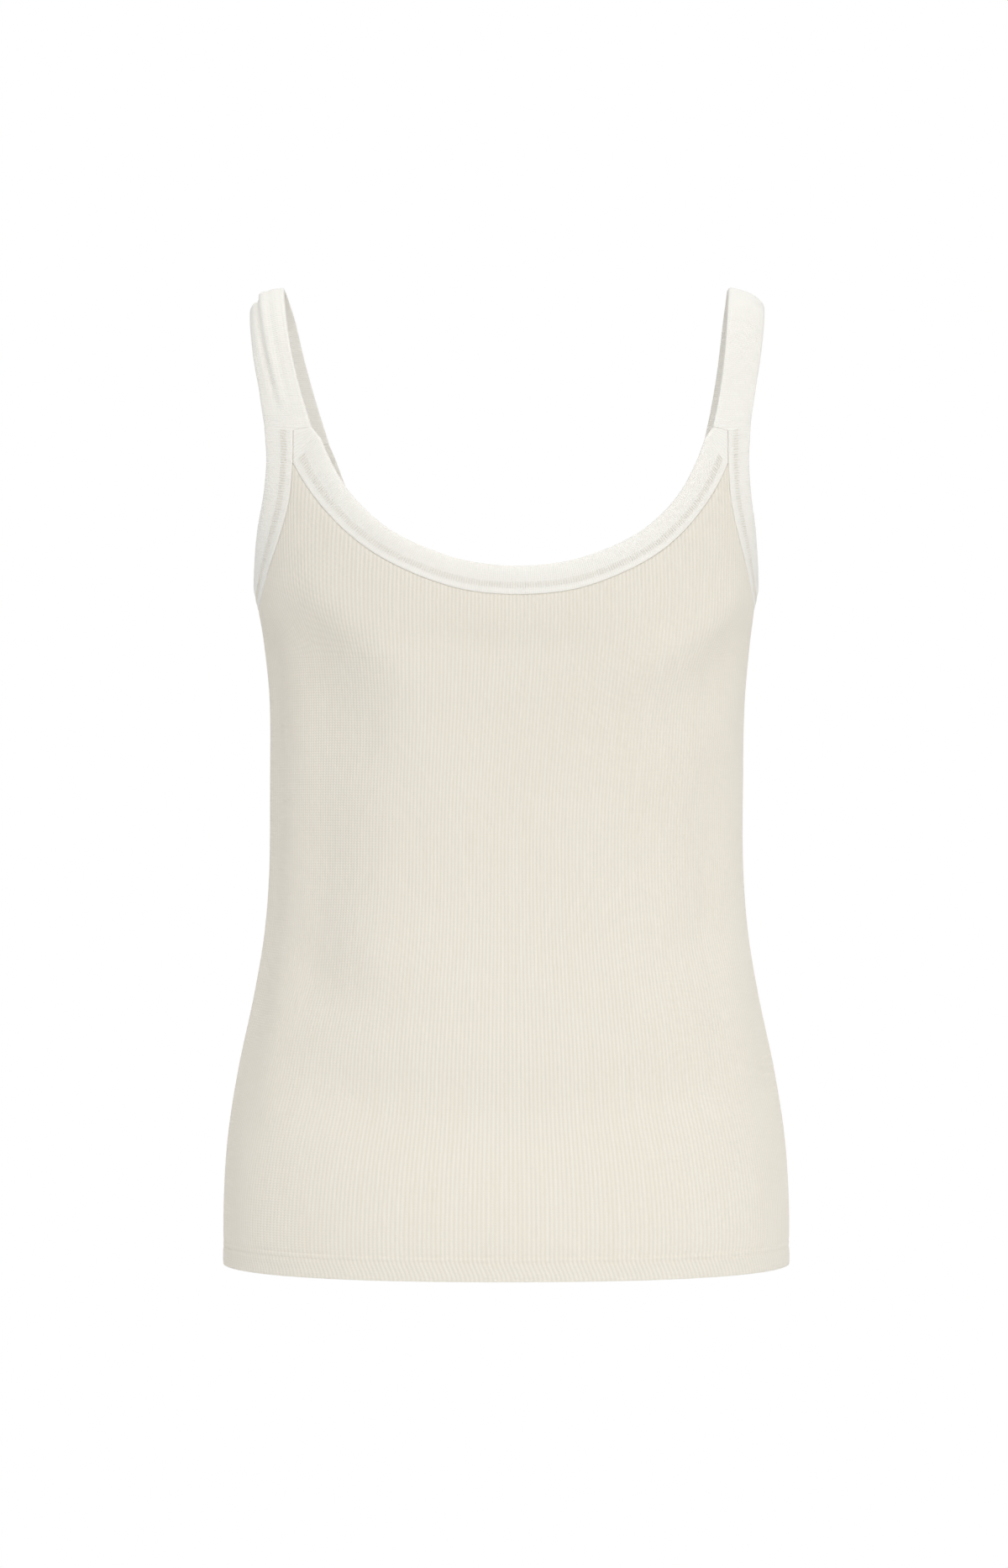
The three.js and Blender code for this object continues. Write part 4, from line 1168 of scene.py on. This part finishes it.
def armhole_band(name, left):
    """Over the shoulder the strap is free on both sides; round the arm its other edge is the seam."""
    rows = len(BAND_EDGE_ROWS)
    t = crisp_stations(STRAP_STATIONS)
    over = between(FRONT_STEP_ROW / rows, 1 + BACK_STEP_ROW / rows, t)
    edge, edge_along = curve(place(*BAND_EDGE_ROWS.T), over, closed=True)
    inner, inner_along = curve(place(*STRAP_INNER_ROWS.T), t)
    out = unit(np.cross(inner - edge, unit(edge_along + inner_along)))
    t = crisp_stations(ARM_STATIONS)
    arm = ARM_SEAM.at(t)
    ahead = STEP_SHARE * (np.exp(-t / STEP_SHARE_REACH) - np.exp(-(1 - t) / STEP_SHARE_REACH))
    arm_edge, _ = curve(ARM_SEAM.edge_points, t + ahead)
    arm_seam = off_seam(arm)
    runs = [distance_along(inner), distance_along(arm_seam)]
    rings = section(
        np.concatenate([edge, arm_edge]),
        np.concatenate([inner, arm_seam]),
        np.concatenate([out, arm["out"]]),
        np.concatenate([fullness(from_nearer_end(run)) for run in runs]),
        np.concatenate([np.ones(len(edge)), np.full(len(arm_edge), BAND_PART)])[:, None],
        strap_folds if left else smooth_strap,
    )
    return loft(name, rings, binding_knit, closed=True, mirrored=left)


bindings["right_armhole_band"] = armhole_band("right_armhole_rolled_band", left=False)
bindings["left_armhole_band"] = armhole_band("left_armhole_rolled_band", left=True)
for node, piece in bindings.items():
    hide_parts(node)
    print(piece.name, len(piece.data.polygons), "faces")

# %% [markdown]
# ## Stitches
# Soft overlock and cover stitches hold the garment: a twin row round the hem, and a ladder of short
# rungs over each binding, which lets it stretch. They could be drawn in a texture, but raised threads
# catch light and cast a fine shade, so each stitch is one small spindle. All spindles of a seam are
# worked out at once and joined to one piece.

# %% Spun sewing thread: dyed to match and a little glossier, so it shows by its shade, not its colour
THREAD_LIGHT, THREAD_DARK = "#E3DED3", "#D2CCBF"
THREAD_ROUGHNESS = 0.8
PLIES_SCALE = 700.0  # a diagonal wave's period is 2 pi / 10 / scale: plies 0.9 mm long along the thread

sewing_thread, tree, shader, coordinates, shade = cotton("spun_sewing_thread", THREAD_ROUGHNESS)
thread_colours = {"data_type": "RGBA", 6: linear(THREAD_LIGHT), 7: linear(THREAD_DARK)}
tinted = add_node(tree, "ShaderNodeMix", thread_colours, {0: shade.outputs[0]})
tree.links.new(tinted.outputs[2], shader.inputs["Base Color"])
twist = add_node(
    tree,
    "ShaderNodeTexWave",
    {"Scale": PLIES_SCALE, "bands_direction": "DIAGONAL"},
    {"Vector": coordinates.outputs["Object"]},
)
ply_bump = {"Strength": 0.3, "Distance": 0.0001}
plies = add_node(tree, "ShaderNodeBump", ply_bump, {"Height": twist.outputs["Fac"]})
tree.links.new(plies.outputs["Normal"], shader.inputs["Normal"])
print("material:", sewing_thread.name, len(tree.nodes), "nodes")

# %% Spindles
SPINDLE_SIDES = 6
SPINDLE_PROFILE = (  # share of the length, share of the radius, rise above the cloth in radii
    (-0.5, 0.15, -0.9),
    (-0.36, 0.75, -0.1),
    (0.0, 1.0, 0.25),
    (0.36, 0.75, -0.1),
    (0.5, 0.15, -0.9),
)


def spindles(name, start, end, out, radius):
    """One spindle per stitch: a ring at each row of the profile, turned by cosine and sine."""
    count = len(start)
    along = end - start
    side = unit(np.cross(along, out)) * radius
    angle = np.arange(SPINDLE_SIDES) * 2 * np.pi / SPINDLE_SIDES
    rings = []
    for share, thick, rise in SPINDLE_PROFILE:
        middle = (start + end) / 2 + along * share + out * radius * rise
        ring = (
            middle[:, None]
            + side[:, None] * (np.cos(angle) * thick)[:, None]
            + out[:, None] * (np.sin(angle) * thick * radius)[:, None]
        )
        rings.append(ring)
    rings = np.stack(rings, axis=1)
    levels = len(SPINDLE_PROFILE)
    index = np.arange(levels * SPINDLE_SIDES).reshape(levels, SPINDLE_SIDES)
    walls = cells(closed_round(index)).reshape(-1, 4)
    first = np.arange(count)[:, None, None] * levels * SPINDLE_SIDES
    faces = (walls + first).reshape(-1, 4).tolist()
    faces += (index[0][::-1] + first[:, 0]).tolist() + (index[-1] + first[:, 0]).tolist()
    corner_uv = np.zeros((sum(len(face) for face in faces), 2))
    return outward_object(name, rings.reshape(-1, 3), faces, corner_uv, sewing_thread)


print("rings in a spindle:", len(SPINDLE_PROFILE))

# %% The hem's twin row
HEM_STITCH = 2.8
HEM_COVER = 0.75  # share of its step that a stitch covers
HEM_THREAD = 0.3
HEM_SUNK = 0.12  # below the plain face, in the pressed line


def hem_stitches(side):
    """Even stitches 2.8 mm apart along both rows, from one side seam to the other."""
    starts, ends, outs = [], [], []
    for drop in STITCH_DROPS:
        length = outline(drop, side)[1][-1]
        count = int((length - 2) * 2 / HEM_STITCH)
        middle = (np.arange(count) + 0.5) / count * 2 - 1
        reach = HEM_COVER / 2 * HEM_STITCH / length
        start, end = (along_outline(drop, side, middle + k * reach)[0] for k in (-1, 1))
        out = body_outward((start + end) / 2, side)
        face = PANEL_WALL / 2 + RIB_MIDDLE - HEM_SUNK
        starts.append(start + out * face)
        ends.append(end + out * face)
        outs.append(out)
    rows = (np.concatenate(part) for part in (starts, ends, outs))
    return spindles(f"{side}_hem_stitches", *rows, HEM_THREAD)


print("stitches in a hem row:", int(2 * outline(STITCH_DROPS[0], "back")[1][-1] / HEM_STITCH))

# %% Ladders on the bindings
RUNG_STEP = 1.55
RUNG_THREAD = 0.24
RUNGS_FROM_END = 1.0
NECK_END_BEYOND = 12  # the neck binding's free edge goes on roughly this far past its seam's end


def ladder(name, seam, full, width_share, mirrored=False):
    """Rungs every 1.55 mm from one needle row to the other, on the pressed face of the binding."""
    beside = off_seam(seam)
    run = distance_along(beside)
    at = np.arange(RUNGS_FROM_END, run[-1] - RUNGS_FROM_END, RUNG_STEP)
    edge, beside, out = (
        np.stack([np.interp(at, run, part[:, k]) for k in range(3)], axis=-1)
        for part in (seam["edge"], beside, seam["out"])
    )
    full = np.interp(at, run, full)[:, None]
    drop = BINDING_WALL - edge[:, 2:3]
    face = []
    for across in LADDER:
        lift, relief = face_height(across, drop, full, step_arch(width_share, edge[:, 1]))
        face.append(edge + (beside - edge) * across + out * (lift + relief + BINDING_WALL / 2))
    start, end = face
    if mirrored:
        start, end, out = start * MIRROR, end * MIRROR, out * MIRROR
    return spindles(name, start, end, out, RUNG_THREAD)


def armhole_ladder(name, left):
    """Round the arm, from step to step."""
    arm = ARM_SEAM.at(np.linspace(0, 1, ARM_STATIONS))
    full = fullness(from_nearer_end(distance_along(off_seam(arm))))
    return ladder(name, arm, full, BAND_PART, mirrored=left)


def neck_ladder(side):
    """Along the neckline, from shoulder point to shoulder point."""
    main = NECK_SEAMS[side].at(np.linspace(0, 1, 2 * NECK_STATIONS))
    full = fullness(from_nearer_end(distance_along(off_seam(main))) + NECK_END_BEYOND)
    return ladder(f"{side}_neck_stitches", main, full, 1 - BAND_PART)


# %% Sew
stitches = {side: [hem_stitches(side), neck_ladder(side)] for side in ("back", "front")}
stitches["arms"] = [
    armhole_ladder("right_armhole_stitches", left=False),
    armhole_ladder("left_armhole_stitches", left=True),
]
for group in stitches.values():
    for piece in group:
        print(piece.name, len(piece.data.polygons), "faces")
